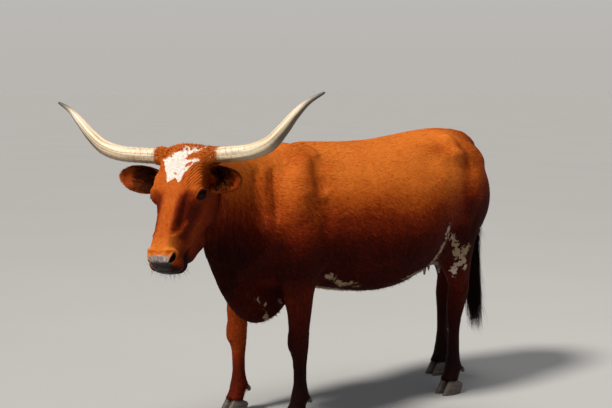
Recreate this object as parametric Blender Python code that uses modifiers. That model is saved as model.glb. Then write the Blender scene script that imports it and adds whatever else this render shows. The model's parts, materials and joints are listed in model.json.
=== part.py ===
"""A life-size Texas longhorn cow, standing square with its head turned to its left.

Everything is in metres. The cow faces -X, its left side is -Y and up is +Z. The shapes are set out in
the cow's own frame, whose X = 0 is the middle of the barrel, and MIDDLE moves them so that the origin
is the middle of the model's box, on the ground.
"""

import math
import random

import bmesh
import bpy
import numpy as np
from mathutils import Matrix, Vector
from mathutils.bvhtree import BVHTree

# Driving dimensions.
MIDDLE = Vector((-0.31765, -0.1996, 0.0))  # the middle of the model's box, in the cow's own frame
GAP = 0.0003  # between touching pieces
WITHERS_HEIGHT = 1.255
HIP_HEIGHT = 1.293
LEFT, RIGHT = -1, 1  # the sides, as the sign of Y
SIDES = {LEFT: "left", RIGHT: "right"}

# Where each foot stands, as the X of its cannon bone and how far out it is.
FRONT_FOOT_X = {LEFT: -0.50, RIGHT: -0.61}
HIND_FOOT_X = {LEFT: 0.43, RIGHT: 0.65}
FRONT_FOOT_Y = 0.165
HIND_FOOT_Y = 0.160

# The head: where the poll is, and how the head is held.
POLL = Vector((-1.11, -0.225, 1.285))
HEAD_YAW = math.radians(35)  # to the cow's left
HEAD_PITCH = math.radians(57)  # of the face's line, below level
HEAD_ROLL = math.radians(4.4)
HEAD_LENGTH = 0.55

# Eyes, in the head's frame: toward the nose, out to the side, out of the forehead.
EYE_CENTRE = (0.218, 0.094, -0.050)
EYE_LOOK = (0.10, 0.86, 0.50)
EYE_RADIUS = 0.0205
LID_HALF_LENGTH = 0.0200
LID_HALF_HEIGHT = 0.0125
LID_TILT = math.radians(35)  # the inner corner lies toward the nose and the forehead

# Horns, in the head's frame, as the line through the middle of each.
HORN_LINE = [
    (0.052, 0.085, -0.036),
    (0.047, 0.139, -0.034),
    (0.041, 0.220, -0.034),
    (0.033, 0.301, -0.030),
    (0.013, 0.374, -0.012),
    (-0.028, 0.432, 0.018),
    (-0.077, 0.484, 0.046),
    (-0.124, 0.538, 0.064),
    (-0.160, 0.604, 0.072),
]
HORN_RADIUS = 0.0315

# Feet.
CORONET_FRONT = 0.074  # the height of the hair line at the toe
CORONET_HEEL = 0.046
CLAW_LENGTH = 0.108
CLAW_WIDTH = 0.047
CLAW_SPLIT = 0.004  # between the two claws of a foot

# Fineness of the solids.
BODY_VOXEL = 0.012
HEAD_VOXEL = 0.0048
BODY_TRIANGLES = 4300
HEAD_TRIANGLES = 1800

COLOURS = {
    "red_hide": (0.36, 0.105, 0.030),
    "dark_hair": (0.020, 0.013, 0.010),
    "horn": (0.66, 0.58, 0.42),
    "hoof": (0.085, 0.070, 0.058),
    "eye": (0.018, 0.012, 0.010),
    "udder_skin": (0.55, 0.36, 0.28),
}
ROUGHNESS = {"red_hide": 0.65, "dark_hair": 0.6, "horn": 0.4, "hoof": 0.55, "eye": 0.08, "udder_skin": 0.6}


# Scene and mesh helpers.


def empty_scene():
    for old in list(bpy.data.objects):
        bpy.data.objects.remove(old)


def finish(name):
    """The material of one kind of piece."""
    made = bpy.data.materials.get(name)
    if made is None:
        made = bpy.data.materials.new(name)
        made.use_nodes = True
        shader = made.node_tree.nodes["Principled BSDF"]
        shader.inputs["Base Color"].default_value = (*COLOURS[name], 1.0)
        shader.inputs["Roughness"].default_value = ROUGHNESS[name]
        shader.inputs["Metallic"].default_value = 0.0
    return made


def mesh_object(name, points, faces):
    data = bpy.data.meshes.new(name)
    data.from_pydata([tuple(p) for p in points], [], faces)
    data.validate()
    made = bpy.data.objects.new(name, data)
    bpy.context.scene.collection.objects.link(made)
    return made


def apply_modifiers(piece):
    """The mesh as its modifiers leave it, put in the place of the old one."""
    bpy.context.view_layer.update()
    shaped = piece.evaluated_get(bpy.context.evaluated_depsgraph_get())
    data = bpy.data.meshes.new_from_object(shaped)
    piece.modifiers.clear()
    old = piece.data
    piece.data = data
    bpy.data.meshes.remove(old)
    return piece


def joined(name, pieces):
    """One object that holds the meshes of several, whose own objects go."""
    merged = bmesh.new()
    for piece in pieces:
        merged.from_mesh(piece.data)
        bpy.data.objects.remove(piece)
    data = bpy.data.meshes.new(name)
    merged.to_mesh(data)
    merged.free()
    made = bpy.data.objects.new(name, data)
    bpy.context.scene.collection.objects.link(made)
    return made


def largest_shell(piece):
    """Keeps the largest closed surface of a mesh and drops the scraps."""
    shape = bmesh.new()
    shape.from_mesh(piece.data)
    left = set(shape.verts)
    shells = []
    while left:
        stack = [left.pop()]
        shell = set(stack)
        while stack:
            for edge in stack.pop().link_edges:
                for vert in edge.verts:
                    if vert in left:
                        left.remove(vert)
                        shell.add(vert)
                        stack.append(vert)
        shells.append(shell)
    shells.sort(key=len)
    for shell in shells[:-1]:
        bmesh.ops.delete(shape, geom=list(shell), context="VERTS")
    shape.to_mesh(piece.data)
    shape.free()
    return piece


def triangulated(piece):
    """Splits faces into triangles, so that a face that isn't flat can't shift when it is cut."""
    shape = bmesh.new()
    shape.from_mesh(piece.data)
    bmesh.ops.triangulate(shape, faces=shape.faces)
    shape.to_mesh(piece.data)
    shape.free()
    return piece


def combine(piece, other, how, keep_other=False):
    """Unites, cuts or crosses two closed meshes."""
    triangulated(piece)
    triangulated(other)
    step = piece.modifiers.new("combine", "BOOLEAN")
    step.operation = how
    step.solver = "EXACT"
    step.object = other
    apply_modifiers(piece)
    if not keep_other:
        bpy.data.objects.remove(other)
    return largest_shell(piece)


def copy_of(piece, name):
    made = bpy.data.objects.new(name, piece.data.copy())
    bpy.context.scene.collection.objects.link(made)
    return made


def swollen(piece, by):
    """A copy whose surface stands proud of the piece's own, to cut a neighbour clear of it."""
    made = copy_of(piece, piece.name + "_swollen")
    step = made.modifiers.new("swell", "DISPLACE")
    step.mid_level = 0.0
    step.strength = by
    return apply_modifiers(made)


def thinned(piece, triangles):
    """Fewer triangles, evened out a little so that none folds over its neighbour."""
    piece.data.calc_loop_triangles()
    step = piece.modifiers.new("thin", "DECIMATE")
    step.ratio = min(1.0, triangles / len(piece.data.loop_triangles))
    step.use_collapse_triangulate = True
    even = piece.modifiers.new("even", "SMOOTH")
    even.factor = 0.25
    even.iterations = 1
    return apply_modifiers(piece)


# Shapes.


def superellipse(turn, power):
    c = math.cos(turn)
    s = math.sin(turn)
    return (
        math.copysign(abs(c) ** (2 / power), c),
        math.copysign(abs(s) ** (2 / power), s),
    )


def tube(name, rings):
    """A closed tube through rings of as many points each."""
    count = len(rings[0])
    points = [p for ring in rings for p in ring]
    faces = []
    for i in range(len(rings) - 1):
        for j in range(count):
            k = (j + 1) % count
            faces.append((i * count + j, i * count + k, (i + 1) * count + k, (i + 1) * count + j))
    faces.append(tuple(reversed(range(count))))
    faces.append(tuple(range((len(rings) - 1) * count, len(rings) * count)))
    made = mesh_object(name, points, faces)
    shape = bmesh.new()
    shape.from_mesh(made.data)
    bmesh.ops.recalc_face_normals(shape, faces=shape.faces)
    shape.to_mesh(made.data)
    shape.free()
    return made


def smooth_rows(rows, steps):
    """Rows of numbers read from a smooth curve through the given ones."""
    rows = np.array(rows, float)
    last = len(rows) - 1
    made = []
    for i in range(last):
        before, start, end, after = rows[max(i - 1, 0)], rows[i], rows[i + 1], rows[min(i + 2, last)]
        for t in np.arange(steps) / steps:
            made.append(
                0.5
                * (
                    2 * start
                    + (end - before) * t
                    + (2 * before - 5 * start + 4 * end - after) * t**2
                    + (3 * start - before - 3 * end + after) * t**3
                )
            )
    made.append(rows[last])
    return np.array(made)


def keel_tube(name, stations, steps=3, count=28):
    """A body lofted over stations of: top point, bottom point, half width, the share of the height at
    which it is widest, the squareness of its top and of its underside, and the way it faces."""
    rings = []
    for row in smooth_rows([(*t, *b, h, at, top, low, yaw) for t, b, h, at, top, low, yaw in stations], steps):
        top, bottom = Vector(row[0:3]), Vector(row[3:6])
        half, share, top_power, low_power, yaw = row[6:11]
        yaw = math.radians(yaw)
        side = Vector((math.sin(yaw), -math.cos(yaw), 0))
        widest = bottom.lerp(top, share)
        ring = []
        for j in range(count):
            turn = 2 * math.pi * j / count
            across, along = superellipse(turn, top_power if math.sin(turn) > 0 else low_power)
            reach = (top - widest) if along > 0 else (widest - bottom)
            ring.append(widest + side * half * across + reach * along)
        rings.append(ring)
    return tube(name, rings)


def limb(name, stations, steps=3, count=18):
    """A limb lofted over stations of: middle point, half length fore and aft, half width."""
    rings = []
    for row in smooth_rows([(*c, a, b) for c, a, b in stations], steps):
        centre = Vector(row[0:3])
        ring = []
        for j in range(count):
            turn = 2 * math.pi * j / count
            ring.append(centre + Vector((row[3] * math.cos(turn), row[4] * math.sin(turn), 0)))
        rings.append(ring)
    return tube(name, rings)


def ball(name, centre, radii, turns=(0, 0, 0), frame=None, around=24):
    """An ellipsoid, turned by degrees about X, Y and Z, or set in a frame of its own."""
    shape = bmesh.new()
    bmesh.ops.create_uvsphere(shape, u_segments=around, v_segments=around // 2, radius=1.0)
    turn = Matrix.Identity(4)
    for axis, degrees in zip("XYZ", turns):
        turn = Matrix.Rotation(math.radians(degrees), 4, axis) @ turn
    place = Matrix.Translation(Vector(centre)) @ turn @ Matrix.Diagonal((*radii, 1.0))
    if frame is not None:
        place = frame @ place
    bmesh.ops.transform(shape, matrix=place, verts=shape.verts)
    bmesh.ops.recalc_face_normals(shape, faces=shape.faces)
    data = bpy.data.meshes.new(name)
    shape.to_mesh(data)
    shape.free()
    made = bpy.data.objects.new(name, data)
    bpy.context.scene.collection.objects.link(made)
    return made


def prism(name, outline, low, high):
    """An outline in the XZ plane, drawn out along Y from low to high."""
    count = len(outline)
    points = [(x, low, z) for x, z in outline] + [(x, high, z) for x, z in outline]
    faces = [tuple(range(count)), tuple(reversed(range(count, 2 * count)))]
    faces += [((j + 1) % count, j, count + j, count + (j + 1) % count) for j in range(count)]
    made = mesh_object(name, points, faces)
    shape = bmesh.new()
    shape.from_mesh(made.data)
    bmesh.ops.recalc_face_normals(shape, faces=shape.faces)
    shape.to_mesh(made.data)
    shape.free()
    return made


def half_space(name, point, normal, size=3.0):
    """A large block whose one face passes through the point, on the side that the normal shows."""
    normal = Vector(normal).normalized()
    shape = bmesh.new()
    bmesh.ops.create_cube(shape, size=size)
    place = Matrix.Translation(Vector(point) + normal * size / 2) @ normal.to_track_quat("Z", "Y").to_matrix().to_4x4()
    bmesh.ops.transform(shape, matrix=place, verts=shape.verts)
    data = bpy.data.meshes.new(name)
    shape.to_mesh(data)
    shape.free()
    made = bpy.data.objects.new(name, data)
    bpy.context.scene.collection.objects.link(made)
    return made


def fused(name, pieces, voxel, rounds):
    """Overlapping pieces made one skin, and the creases between them softened."""
    made = joined(name, pieces)
    skin = made.modifiers.new("skin", "REMESH")
    skin.mode = "VOXEL"
    skin.voxel_size = voxel
    soften = made.modifiers.new("soften", "SMOOTH")
    soften.factor = 0.5
    soften.iterations = rounds
    return largest_shell(apply_modifiers(made))


# The head's own frame.


def head_frame():
    """From (toward the nose, to the cow's left, out of the forehead) to the cow's frame."""
    ahead = Vector((-math.cos(HEAD_YAW), -math.sin(HEAD_YAW), 0))
    left = Vector((math.sin(HEAD_YAW), -math.cos(HEAD_YAW), 0))
    up = Vector((0, 0, 1))
    nose = ahead * math.cos(HEAD_PITCH) - up * math.sin(HEAD_PITCH)
    brow = ahead * math.sin(HEAD_PITCH) + up * math.cos(HEAD_PITCH)
    side = left * math.cos(HEAD_ROLL) + brow * math.sin(HEAD_ROLL)
    out = brow * math.cos(HEAD_ROLL) - left * math.sin(HEAD_ROLL)
    turn = Matrix((nose, side, out)).transposed().to_4x4()
    return Matrix.Translation(POLL) @ turn


HEAD = head_frame()
NAPE_CUT = (-0.035, 0.0, -0.095)  # two points of the cut between head and neck, seen from the side
THROAT_CUT = (0.105, 0.0, -0.292)


def nape_plane():
    """A point of the cut between head and neck, and its normal toward the neck."""
    a, b = Vector(NAPE_CUT), Vector(THROAT_CUT)
    along = b - a
    normal = Vector((along.z, 0, -along.x)).normalized()
    return HEAD @ a, HEAD.to_3x3() @ normal


# Rows of the head: toward the nose, then the half outline of the section as pairs of
# (out to the side, out of the forehead) from the middle of the face down to the middle of the throat.
HEAD_ROWS = [
    (-0.018, [(0, -0.050), (0.055, -0.055), (0.072, -0.088), (0.056, -0.130), (0, -0.150)]),
    (0.004, [(0, -0.022), (0.072, -0.028), (0.097, -0.076), (0.080, -0.160), (0, -0.200)]),
    (0.045, [(0, -0.002), (0.080, -0.010), (0.107, -0.074), (0.084, -0.180), (0, -0.240)]),
    (0.100, [(0, 0.006), (0.080, -0.004), (0.104, -0.070), (0.088, -0.205), (0, -0.275)]),
    (0.160, [(0, 0.005), (0.080, -0.008), (0.105, -0.068), (0.088, -0.215), (0, -0.292)]),
    (0.215, [(0, 0.000), (0.072, -0.008), (0.100, -0.070), (0.082, -0.212), (0, -0.290)]),
    (0.270, [(0, -0.003), (0.056, -0.012), (0.084, -0.075), (0.070, -0.202), (0, -0.276)]),
    (0.330, [(0, -0.003), (0.044, -0.012), (0.068, -0.075), (0.058, -0.206), (0, -0.286)]),
    (0.390, [(0, -0.004), (0.037, -0.013), (0.056, -0.070), (0.048, -0.188), (0, -0.264)]),
    (0.445, [(0, -0.006), (0.037, -0.014), (0.053, -0.062), (0.045, -0.162), (0, -0.227)]),
    (0.486, [(0, -0.013), (0.041, -0.021), (0.057, -0.062), (0.047, -0.136), (0, -0.194)]),
    (0.516, [(0, -0.028), (0.037, -0.034), (0.053, -0.070), (0.043, -0.118), (0, -0.166)]),
    (0.536, [(0, -0.048), (0.028, -0.050), (0.040, -0.074), (0.032, -0.104), (0, -0.124)]),
    (0.543, [(0, -0.064), (0.016, -0.064), (0.025, -0.078), (0.019, -0.094), (0, -0.102)]),
]


def head_loft():
    """The skull and jaw, lofted along the face."""
    rows = smooth_rows([[u] + [n for pair in half for n in pair] for u, half in HEAD_ROWS], 3)
    rings = []
    for row in rows:
        half = [(row[i], row[i + 1]) for i in range(1, len(row), 2)]
        outline = half + [(-v, w) for v, w in reversed(half[1:-1])]
        count = len(outline)
        ring = []
        for i in range(count):
            before, start, end, after = (Vector(outline[(i + k) % count]) for k in (-1, 0, 1, 2))
            for t in (0.0, 0.25, 0.5, 0.75):
                v, w = 0.5 * (
                    2 * start
                    + (end - before) * t
                    + (2 * before - 5 * start + 4 * end - after) * t**2
                    + (3 * start - before - 3 * end + after) * t**3
                )
                ring.append(HEAD @ Vector((row[0], v, w)))
        rings.append(ring)
    return tube("head_loft", rings)


def head_lumps():
    """Bony and fleshy forms of the head: middle, radii and turns in the head's frame."""
    made = [
        ball("poll", (0.034, 0, -0.038), (0.046, 0.106, 0.038), frame=HEAD),
        ball("chin", (0.470, 0, -0.166), (0.046, 0.040, 0.034), (0, 22, 0), HEAD),
        ball("upper_lip", (0.514, 0, -0.086), (0.034, 0.050, 0.029), frame=HEAD),
    ]
    for side in (1, -1):
        for name, centre, radii, turns in [
            ("horn_root", (0.048, 0.088, -0.040), (0.041, 0.062, 0.040), (0, 0, 0)),
            ("orbit", (0.213, 0.084, -0.050), (0.048, 0.033, 0.042), (0, 0, -8)),
            ("brow", (0.172, 0.082, -0.034), (0.058, 0.026, 0.026), (0, 0, -4)),
            ("cheek", (0.195, 0.062, -0.180), (0.088, 0.032, 0.088), (0, 0, 0)),
            ("crest", (0.300, 0.062, -0.098), (0.075, 0.014, 0.016), (0, -8, -10)),
            ("nostril_wing", (0.490, 0.041, -0.050), (0.030, 0.020, 0.027), (0, 0, 0)),
            ("lip_pad", (0.499, 0.036, -0.090), (0.035, 0.022, 0.022), (0, 0, 0)),
            ("ear_root", (0.108, 0.094, -0.122), (0.034, 0.032, 0.036), (0, 0, 0)),
        ]:
            place = (centre[0], centre[1] * side, centre[2])
            angles = (turns[0] * side, turns[1], turns[2] * side)
            made.append(ball(name, place, radii, angles, HEAD))
    return made


# The body.

NECK_STATIONS = [
    ((-0.36, 0, 1.225), (-0.60, 0, 0.62), 0.205, 0.50, 1.8, 2.0, 0),
    ((-0.52, 0, 1.228), (-0.755, 0, 0.68), 0.165, 0.50, 1.8, 2.0, 3),
    ((-0.67, -0.015, 1.228), (-0.825, -0.015, 0.765), 0.128, 0.52, 1.9, 2.0, 12),
    ((-0.80, -0.055, 1.238), (-0.875, -0.055, 0.855), 0.108, 0.52, 2.0, 2.0, 20),
    ((-0.92, -0.110, 1.256), (-0.920, -0.100, 0.935), 0.099, 0.52, 2.1, 2.0, 27),
    ((-1.01, -0.165, 1.258), (-0.955, -0.140, 1.000), 0.093, 0.52, 2.2, 2.0, 32),
    ((-1.07, -0.200, 1.248), (-1.010, -0.180, 1.040), 0.082, 0.52, 2.2, 2.0, 35),
]
DEWLAP_STATIONS = [
    ((-1.075, -0.262, 1.020), (-1.048, -0.250, 0.866), 0.034, 0.5, 2, 2, 35),
    ((-1.020, -0.215, 1.030), (-1.008, -0.202, 0.832), 0.038, 0.5, 2, 2, 34),
    ((-0.965, -0.155, 1.010), (-0.965, -0.145, 0.812), 0.042, 0.5, 2, 2, 30),
    ((-0.900, -0.085, 0.950), (-0.922, -0.082, 0.797), 0.044, 0.5, 2, 2, 22),
    ((-0.840, -0.035, 0.860), (-0.886, -0.032, 0.758), 0.042, 0.5, 2, 2, 12),
    ((-0.770, -0.005, 0.790), (-0.848, -0.005, 0.695), 0.048, 0.5, 2, 2, 3),
    ((-0.700, 0, 0.720), (-0.804, 0, 0.605), 0.060, 0.5, 2, 2, 0),
    ((-0.640, 0, 0.690), (-0.745, 0, 0.510), 0.068, 0.45, 2, 2, 0),
    ((-0.580, 0, 0.670), (-0.665, 0, 0.447), 0.070, 0.45, 2, 2, 0),
    ((-0.530, 0, 0.660), (-0.575, 0, 0.440), 0.066, 0.45, 2, 2, 0),
    ((-0.480, 0, 0.660), (-0.500, 0, 0.478), 0.056, 0.45, 2, 2, 0),
    ((-0.420, 0, 0.660), (-0.430, 0, 0.560), 0.046, 0.5, 2, 2, 0),
]


def trunk_station(x, top, low, half, widest, top_power, low_power):
    return ((x, 0, top), (x, 0, low), half, (widest - low) / (top - low), top_power, low_power, 0)


TRUNK_STATIONS = [
    trunk_station(-0.790, 1.00, 0.74, 0.070, 0.87, 2.0, 2.0),
    trunk_station(-0.740, 1.09, 0.655, 0.140, 0.87, 2.0, 2.0),
    trunk_station(-0.640, 1.175, 0.605, 0.190, 0.87, 1.9, 2.0),
    trunk_station(-0.520, WITHERS_HEIGHT - 0.022, 0.595, 0.212, 0.88, 1.8, 2.0),
    trunk_station(-0.400, WITHERS_HEIGHT, 0.590, 0.228, 0.87, 1.8, 2.0),
    trunk_station(-0.260, 1.248, 0.560, 0.262, 0.85, 1.95, 2.1),
    trunk_station(-0.100, 1.245, 0.536, 0.305, 0.83, 2.1, 2.15),
    trunk_station(0.050, 1.250, 0.534, 0.325, 0.83, 2.15, 2.15),
    trunk_station(0.190, 1.266, 0.573, 0.318, 0.86, 2.2, 2.1),
    trunk_station(0.320, 1.282, 0.660, 0.282, 0.93, 2.3, 2.0),
    trunk_station(0.440, HIP_HEIGHT, 0.745, 0.238, 1.00, 2.2, 2.0),
    trunk_station(0.540, 1.280, 0.810, 0.190, 1.05, 2.0, 2.0),
    trunk_station(0.620, 1.245, 0.880, 0.135, 1.07, 1.9, 2.0),
    trunk_station(0.652, 1.205, 0.950, 0.090, 1.08, 1.9, 2.0),
    trunk_station(0.668, 1.160, 1.010, 0.030, 1.08, 2.0, 2.0),
]


def body_lumps(side):
    """Muscles and bony points of one side: middle, radii and turns about X, Y and Z."""
    hind = HIND_FOOT_X[side] - 0.43
    rows = [
        ("shoulder_blade", (-0.500, 0.142, 0.985), (0.110, 0.085, 0.235), (-9, 22, 0)),
        ("upper_arm", (-0.505, 0.178, 0.790), (0.165, 0.078, 0.150), (0, 10, 0)),
        ("shoulder_point", (-0.640, 0.145, 0.840), (0.112, 0.085, 0.125), (0, 12, 0)),
        ("hook", (0.378, 0.185, 1.165), (0.088, 0.062, 0.054), (0, 0, 0)),
        ("rump", (0.480, 0.108, 1.120), (0.170, 0.105, 0.120), (0, 8, 0)),
        ("pin", (0.622, 0.082, 1.115), (0.046, 0.042, 0.056), (0, 0, 0)),
        ("thigh", (0.460 + hind * 0.12, 0.142, 0.945), (0.200, 0.110, 0.225), (4, 6, 0)),
        ("stifle", (0.300 + hind * 0.55, 0.188, 0.775), (0.105, 0.068, 0.120), (0, 25, 0)),
        ("flank_fold", (0.250 + hind * 0.40, 0.205, 0.800), (0.060, 0.050, 0.130), (0, 24, 0)),
    ]
    return [
        ball(name, (c[0], c[1] * side, c[2]), radii, (turns[0] * -side, turns[1], turns[2] * -side))
        for name, c, radii, turns in rows
    ]


def front_leg(side):
    """From the elbow down to the hair line of the hoof: middle, half length, half width."""
    x = FRONT_FOOT_X[side]
    y = FRONT_FOOT_Y * side
    top = -0.53  # the elbow stays by the chest, wherever the foot is
    return limb(
        "front_leg",
        [
            ((top * 0.75 + x * 0.25, y * 1.06, 0.800), 0.125, 0.066),
            ((top * 0.60 + x * 0.40 + 0.010, y * 1.04, 0.690), 0.103, 0.066),
            ((top * 0.40 + x * 0.60 + 0.005, y * 1.02, 0.590), 0.078, 0.058),
            ((x, y, 0.490), 0.058, 0.050),
            ((x - 0.003, y, 0.420), 0.049, 0.047),
            ((x - 0.006, y, 0.370), 0.050, 0.050),
            ((x - 0.002, y, 0.325), 0.043, 0.043),
            ((x + 0.002, y, 0.280), 0.034, 0.035),
            ((x + 0.003, y, 0.210), 0.031, 0.032),
            ((x + 0.004, y, 0.160), 0.036, 0.037),
            ((x + 0.004, y, 0.128), 0.043, 0.043),
            ((x - 0.008, y, 0.098), 0.038, 0.041),
            ((x - 0.022, y, 0.070), 0.043, 0.047),
            ((x - 0.030, y, 0.040), 0.047, 0.049),
        ],
    )


def hind_leg(side):
    """From the thigh down over the hock to the hair line of the hoof."""
    x = HIND_FOOT_X[side]
    y = HIND_FOOT_Y * side
    return limb(
        "hind_leg",
        [
            ((0.44 * 0.7 + (x + 0.01) * 0.3, y * 0.97, 0.860), 0.175, 0.088),
            ((0.40 * 0.6 + (x - 0.02) * 0.4, y * 1.06, 0.770), 0.150, 0.080),
            ((x - 0.020, y * 1.09, 0.680), 0.112, 0.066),
            ((x + 0.008, y * 1.05, 0.600), 0.080, 0.052),
            ((x + 0.026, y * 1.01, 0.535), 0.062, 0.044),
            ((x + 0.026, y, 0.490), 0.063, 0.043),
            ((x + 0.014, y, 0.445), 0.056, 0.044),
            ((x + 0.004, y, 0.395), 0.043, 0.041),
            ((x, y, 0.340), 0.034, 0.034),
            ((x, y, 0.240), 0.031, 0.031),
            ((x, y, 0.165), 0.037, 0.037),
            ((x, y, 0.128), 0.043, 0.043),
            ((x - 0.012, y, 0.098), 0.038, 0.041),
            ((x - 0.026, y, 0.070), 0.043, 0.047),
            ((x - 0.034, y, 0.040), 0.047, 0.049),
        ],
    )


def heel_cord(side):
    """The cord of the heel, a ridge from the calf to the point of the hock."""
    x = HIND_FOOT_X[side]
    y = HIND_FOOT_Y * side
    return limb(
        "heel_cord",
        [
            ((x + 0.050, y * 1.03, 0.640), 0.026, 0.024),
            ((x + 0.060, y * 1.01, 0.575), 0.016, 0.015),
            ((x + 0.068, y, 0.520), 0.020, 0.019),
            ((x + 0.058, y, 0.480), 0.016, 0.018),
        ],
        count=12,
    )


def body_skin():
    """Trunk, neck, dewlap and legs as one closed skin."""
    pieces = [
        keel_tube("trunk", TRUNK_STATIONS),
        keel_tube("neck_loft", NECK_STATIONS),
        keel_tube("dewlap", DEWLAP_STATIONS, count=16),
        ball("tail_head", (0.610, 0, 1.212), (0.075, 0.055, 0.055), (0, 30, 0)),
        head_loft(),
    ]
    pieces += head_lumps()
    for side in (LEFT, RIGHT):
        pieces += body_lumps(side)
        pieces += [front_leg(side), hind_leg(side), heel_cord(side)]
    return fused("body_skin", pieces, BODY_VOXEL, 7)


# Regions that part the body, as outlines in the XZ plane. Each keeps to one side of the middle.
FRONT_LEG_TOP = 0.665
BRISKET_HALF = 0.080
HIND_LEG_TOP = 0.830
CROTCH_HALF = 0.022
FLOOR_BELOW = -0.05


def front_region(side, grow=0.0):
    x = FRONT_FOOT_X[side]
    front, back, top = x - 0.180 - grow, x + 0.150 + grow, FRONT_LEG_TOP + grow
    outline = [(front, FLOOR_BELOW), (back, FLOOR_BELOW), (back, top), (front, top)]
    near, far = sorted((side * (BRISKET_HALF - grow), side * 0.6))
    return prism("front_region", outline, near, far)


def hind_region(side, grow=0.0):
    shift = (HIND_FOOT_X[side] - 0.43) * 0.5
    top = HIND_LEG_TOP + grow
    outline = [
        (0.110 + shift - grow, FLOOR_BELOW),
        (0.950, FLOOR_BELOW),
        (0.950, top),
        (0.365 + shift - grow, top),
        (0.110 + shift - grow, 0.480),
    ]
    near, far = sorted((side * (CROTCH_HALF - grow), side * 0.6))
    return prism("hind_region", outline, near, far)


SHOULDER_CUT_TOP = Vector((-0.525, 0, 1.25))
SHOULDER_CUT_LOW = Vector((-0.790, 0, 0.60))


def shoulder_plane():
    """A point of the cut between neck and trunk, and its normal toward the neck."""
    along = SHOULDER_CUT_LOW - SHOULDER_CUT_TOP
    return SHOULDER_CUT_TOP, Vector((along.z, 0, -along.x)).normalized()


def coronet_plane(x):
    """A point of the hair line's slope over a foot, and its normal, upward."""
    toe, heel = x - 0.075, x + 0.020
    slope = (CORONET_FRONT - CORONET_HEEL) / (heel - toe)
    return Vector((toe, 0, CORONET_FRONT)), Vector((slope, 0, 1)).normalized()


def parted_body(skin):
    """The body skin cut into neck, trunk and four legs, each a hair apart from the next."""
    made = {}
    for name, place, feet in (("front", front_region, FRONT_FOOT_X), ("hind", hind_region, HIND_FOOT_X)):
        for side in (LEFT, RIGHT):
            leg = combine(copy_of(skin, f"{name}_leg_{SIDES[side]}"), place(side), "INTERSECT")
            point, normal = coronet_plane(feet[side])
            made[leg.name] = combine(leg, half_space("above_hoof", point, normal), "INTERSECT")
    nape, to_neck = nape_plane()
    shoulder, ahead = shoulder_plane()
    neck = combine(copy_of(skin, "neck"), half_space("behind_head", nape + to_neck * GAP / 2, to_neck), "INTERSECT")
    made["neck"] = combine(neck, half_space("ahead", shoulder + ahead * GAP / 2, ahead), "INTERSECT")
    trunk = combine(copy_of(skin, "torso"), half_space("behind", shoulder - ahead * GAP / 2, -ahead), "INTERSECT")
    for side in (LEFT, RIGHT):
        combine(trunk, front_region(side, GAP), "DIFFERENCE")
        combine(trunk, hind_region(side, GAP), "DIFFERENCE")
    made["torso"] = trunk
    bpy.data.objects.remove(skin)
    return made


# The head's solid, with its openings.


def surface_of(piece):
    shape = bmesh.new()
    shape.from_mesh(piece.data)
    tree = BVHTree.FromBMesh(shape)
    shape.free()
    return tree


def wire(name, points, radius, closed=False, resolution=1):
    """A round wire through points, as a closed mesh."""
    curve = bpy.data.curves.new(name, "CURVE")
    curve.dimensions = "3D"
    curve.bevel_depth = radius
    curve.bevel_resolution = resolution
    curve.use_fill_caps = not closed
    spline = curve.splines.new("POLY")
    spline.points.add(len(points) - 1)
    for spot, p in zip(spline.points, points):
        spot.co = (*p, 1)
    spline.use_cyclic_u = closed
    drawn = bpy.data.objects.new(name, curve)
    bpy.context.scene.collection.objects.link(drawn)
    bpy.context.view_layer.update()
    data = bpy.data.meshes.new_from_object(drawn.evaluated_get(bpy.context.evaluated_depsgraph_get()))
    bpy.data.objects.remove(drawn)
    shape = bmesh.new()
    shape.from_mesh(data)
    bmesh.ops.remove_doubles(shape, verts=shape.verts, dist=1e-5)
    bmesh.ops.recalc_face_normals(shape, faces=shape.faces)
    shape.to_mesh(data)
    shape.free()
    made = bpy.data.objects.new(name, data)
    bpy.context.scene.collection.objects.link(made)
    return made


def eye_frame(side):
    """The eye's frame: along the lids toward the nose, across them, and out along its look."""
    centre = Vector((EYE_CENTRE[0], EYE_CENTRE[1] * side, EYE_CENTRE[2]))
    look = Vector((EYE_LOOK[0], EYE_LOOK[1] * side, EYE_LOOK[2])).normalized()
    along = Vector((1, 0, 0))
    along = (along - look * along.dot(look)).normalized()
    across = look.cross(along) * side
    turned = along * math.cos(LID_TILT) + across * math.sin(LID_TILT) * -1
    across = look.cross(turned)
    return HEAD @ Matrix.Translation(centre) @ Matrix((turned, across, look)).transposed().to_4x4()


def lid_point(turn, grow=0.0):
    """A point of the almond between the lids, seen along the eye's look."""
    x = (LID_HALF_LENGTH + grow) * math.cos(turn)
    lift = abs(math.sin(turn)) ** 1.3
    return x, math.copysign((LID_HALF_HEIGHT + grow) * lift, math.sin(turn))


def almond(name, grow, low, high, count=18):
    """The almond between the lids, drawn out along the eye's look."""
    rings = []
    for z in (low, high):
        rings.append([Vector((*lid_point(2 * math.pi * j / count, grow), z)) for j in range(count)])
    return tube(name, rings)


def lid_rim(name, side, tree):
    """The thick edge of the lids, laid round the almond on the face."""
    frame = eye_frame(side)
    inward = -(frame.to_3x3() @ Vector((0, 0, 1)))
    points = []
    for j in range(20):
        x, y = lid_point(2 * math.pi * j / 20, 0.0035)
        start = frame @ Vector((x, y, 0.06))
        hit = tree.ray_cast(start, inward)[0]
        points.append(hit)
    return wire(name, points, 0.0042, closed=True, resolution=0)


MOUTH_CORNER = (0.405, 0.062, -0.150)
MOUTH_FRONT = (0.554, 0.0, -0.116)


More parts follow.
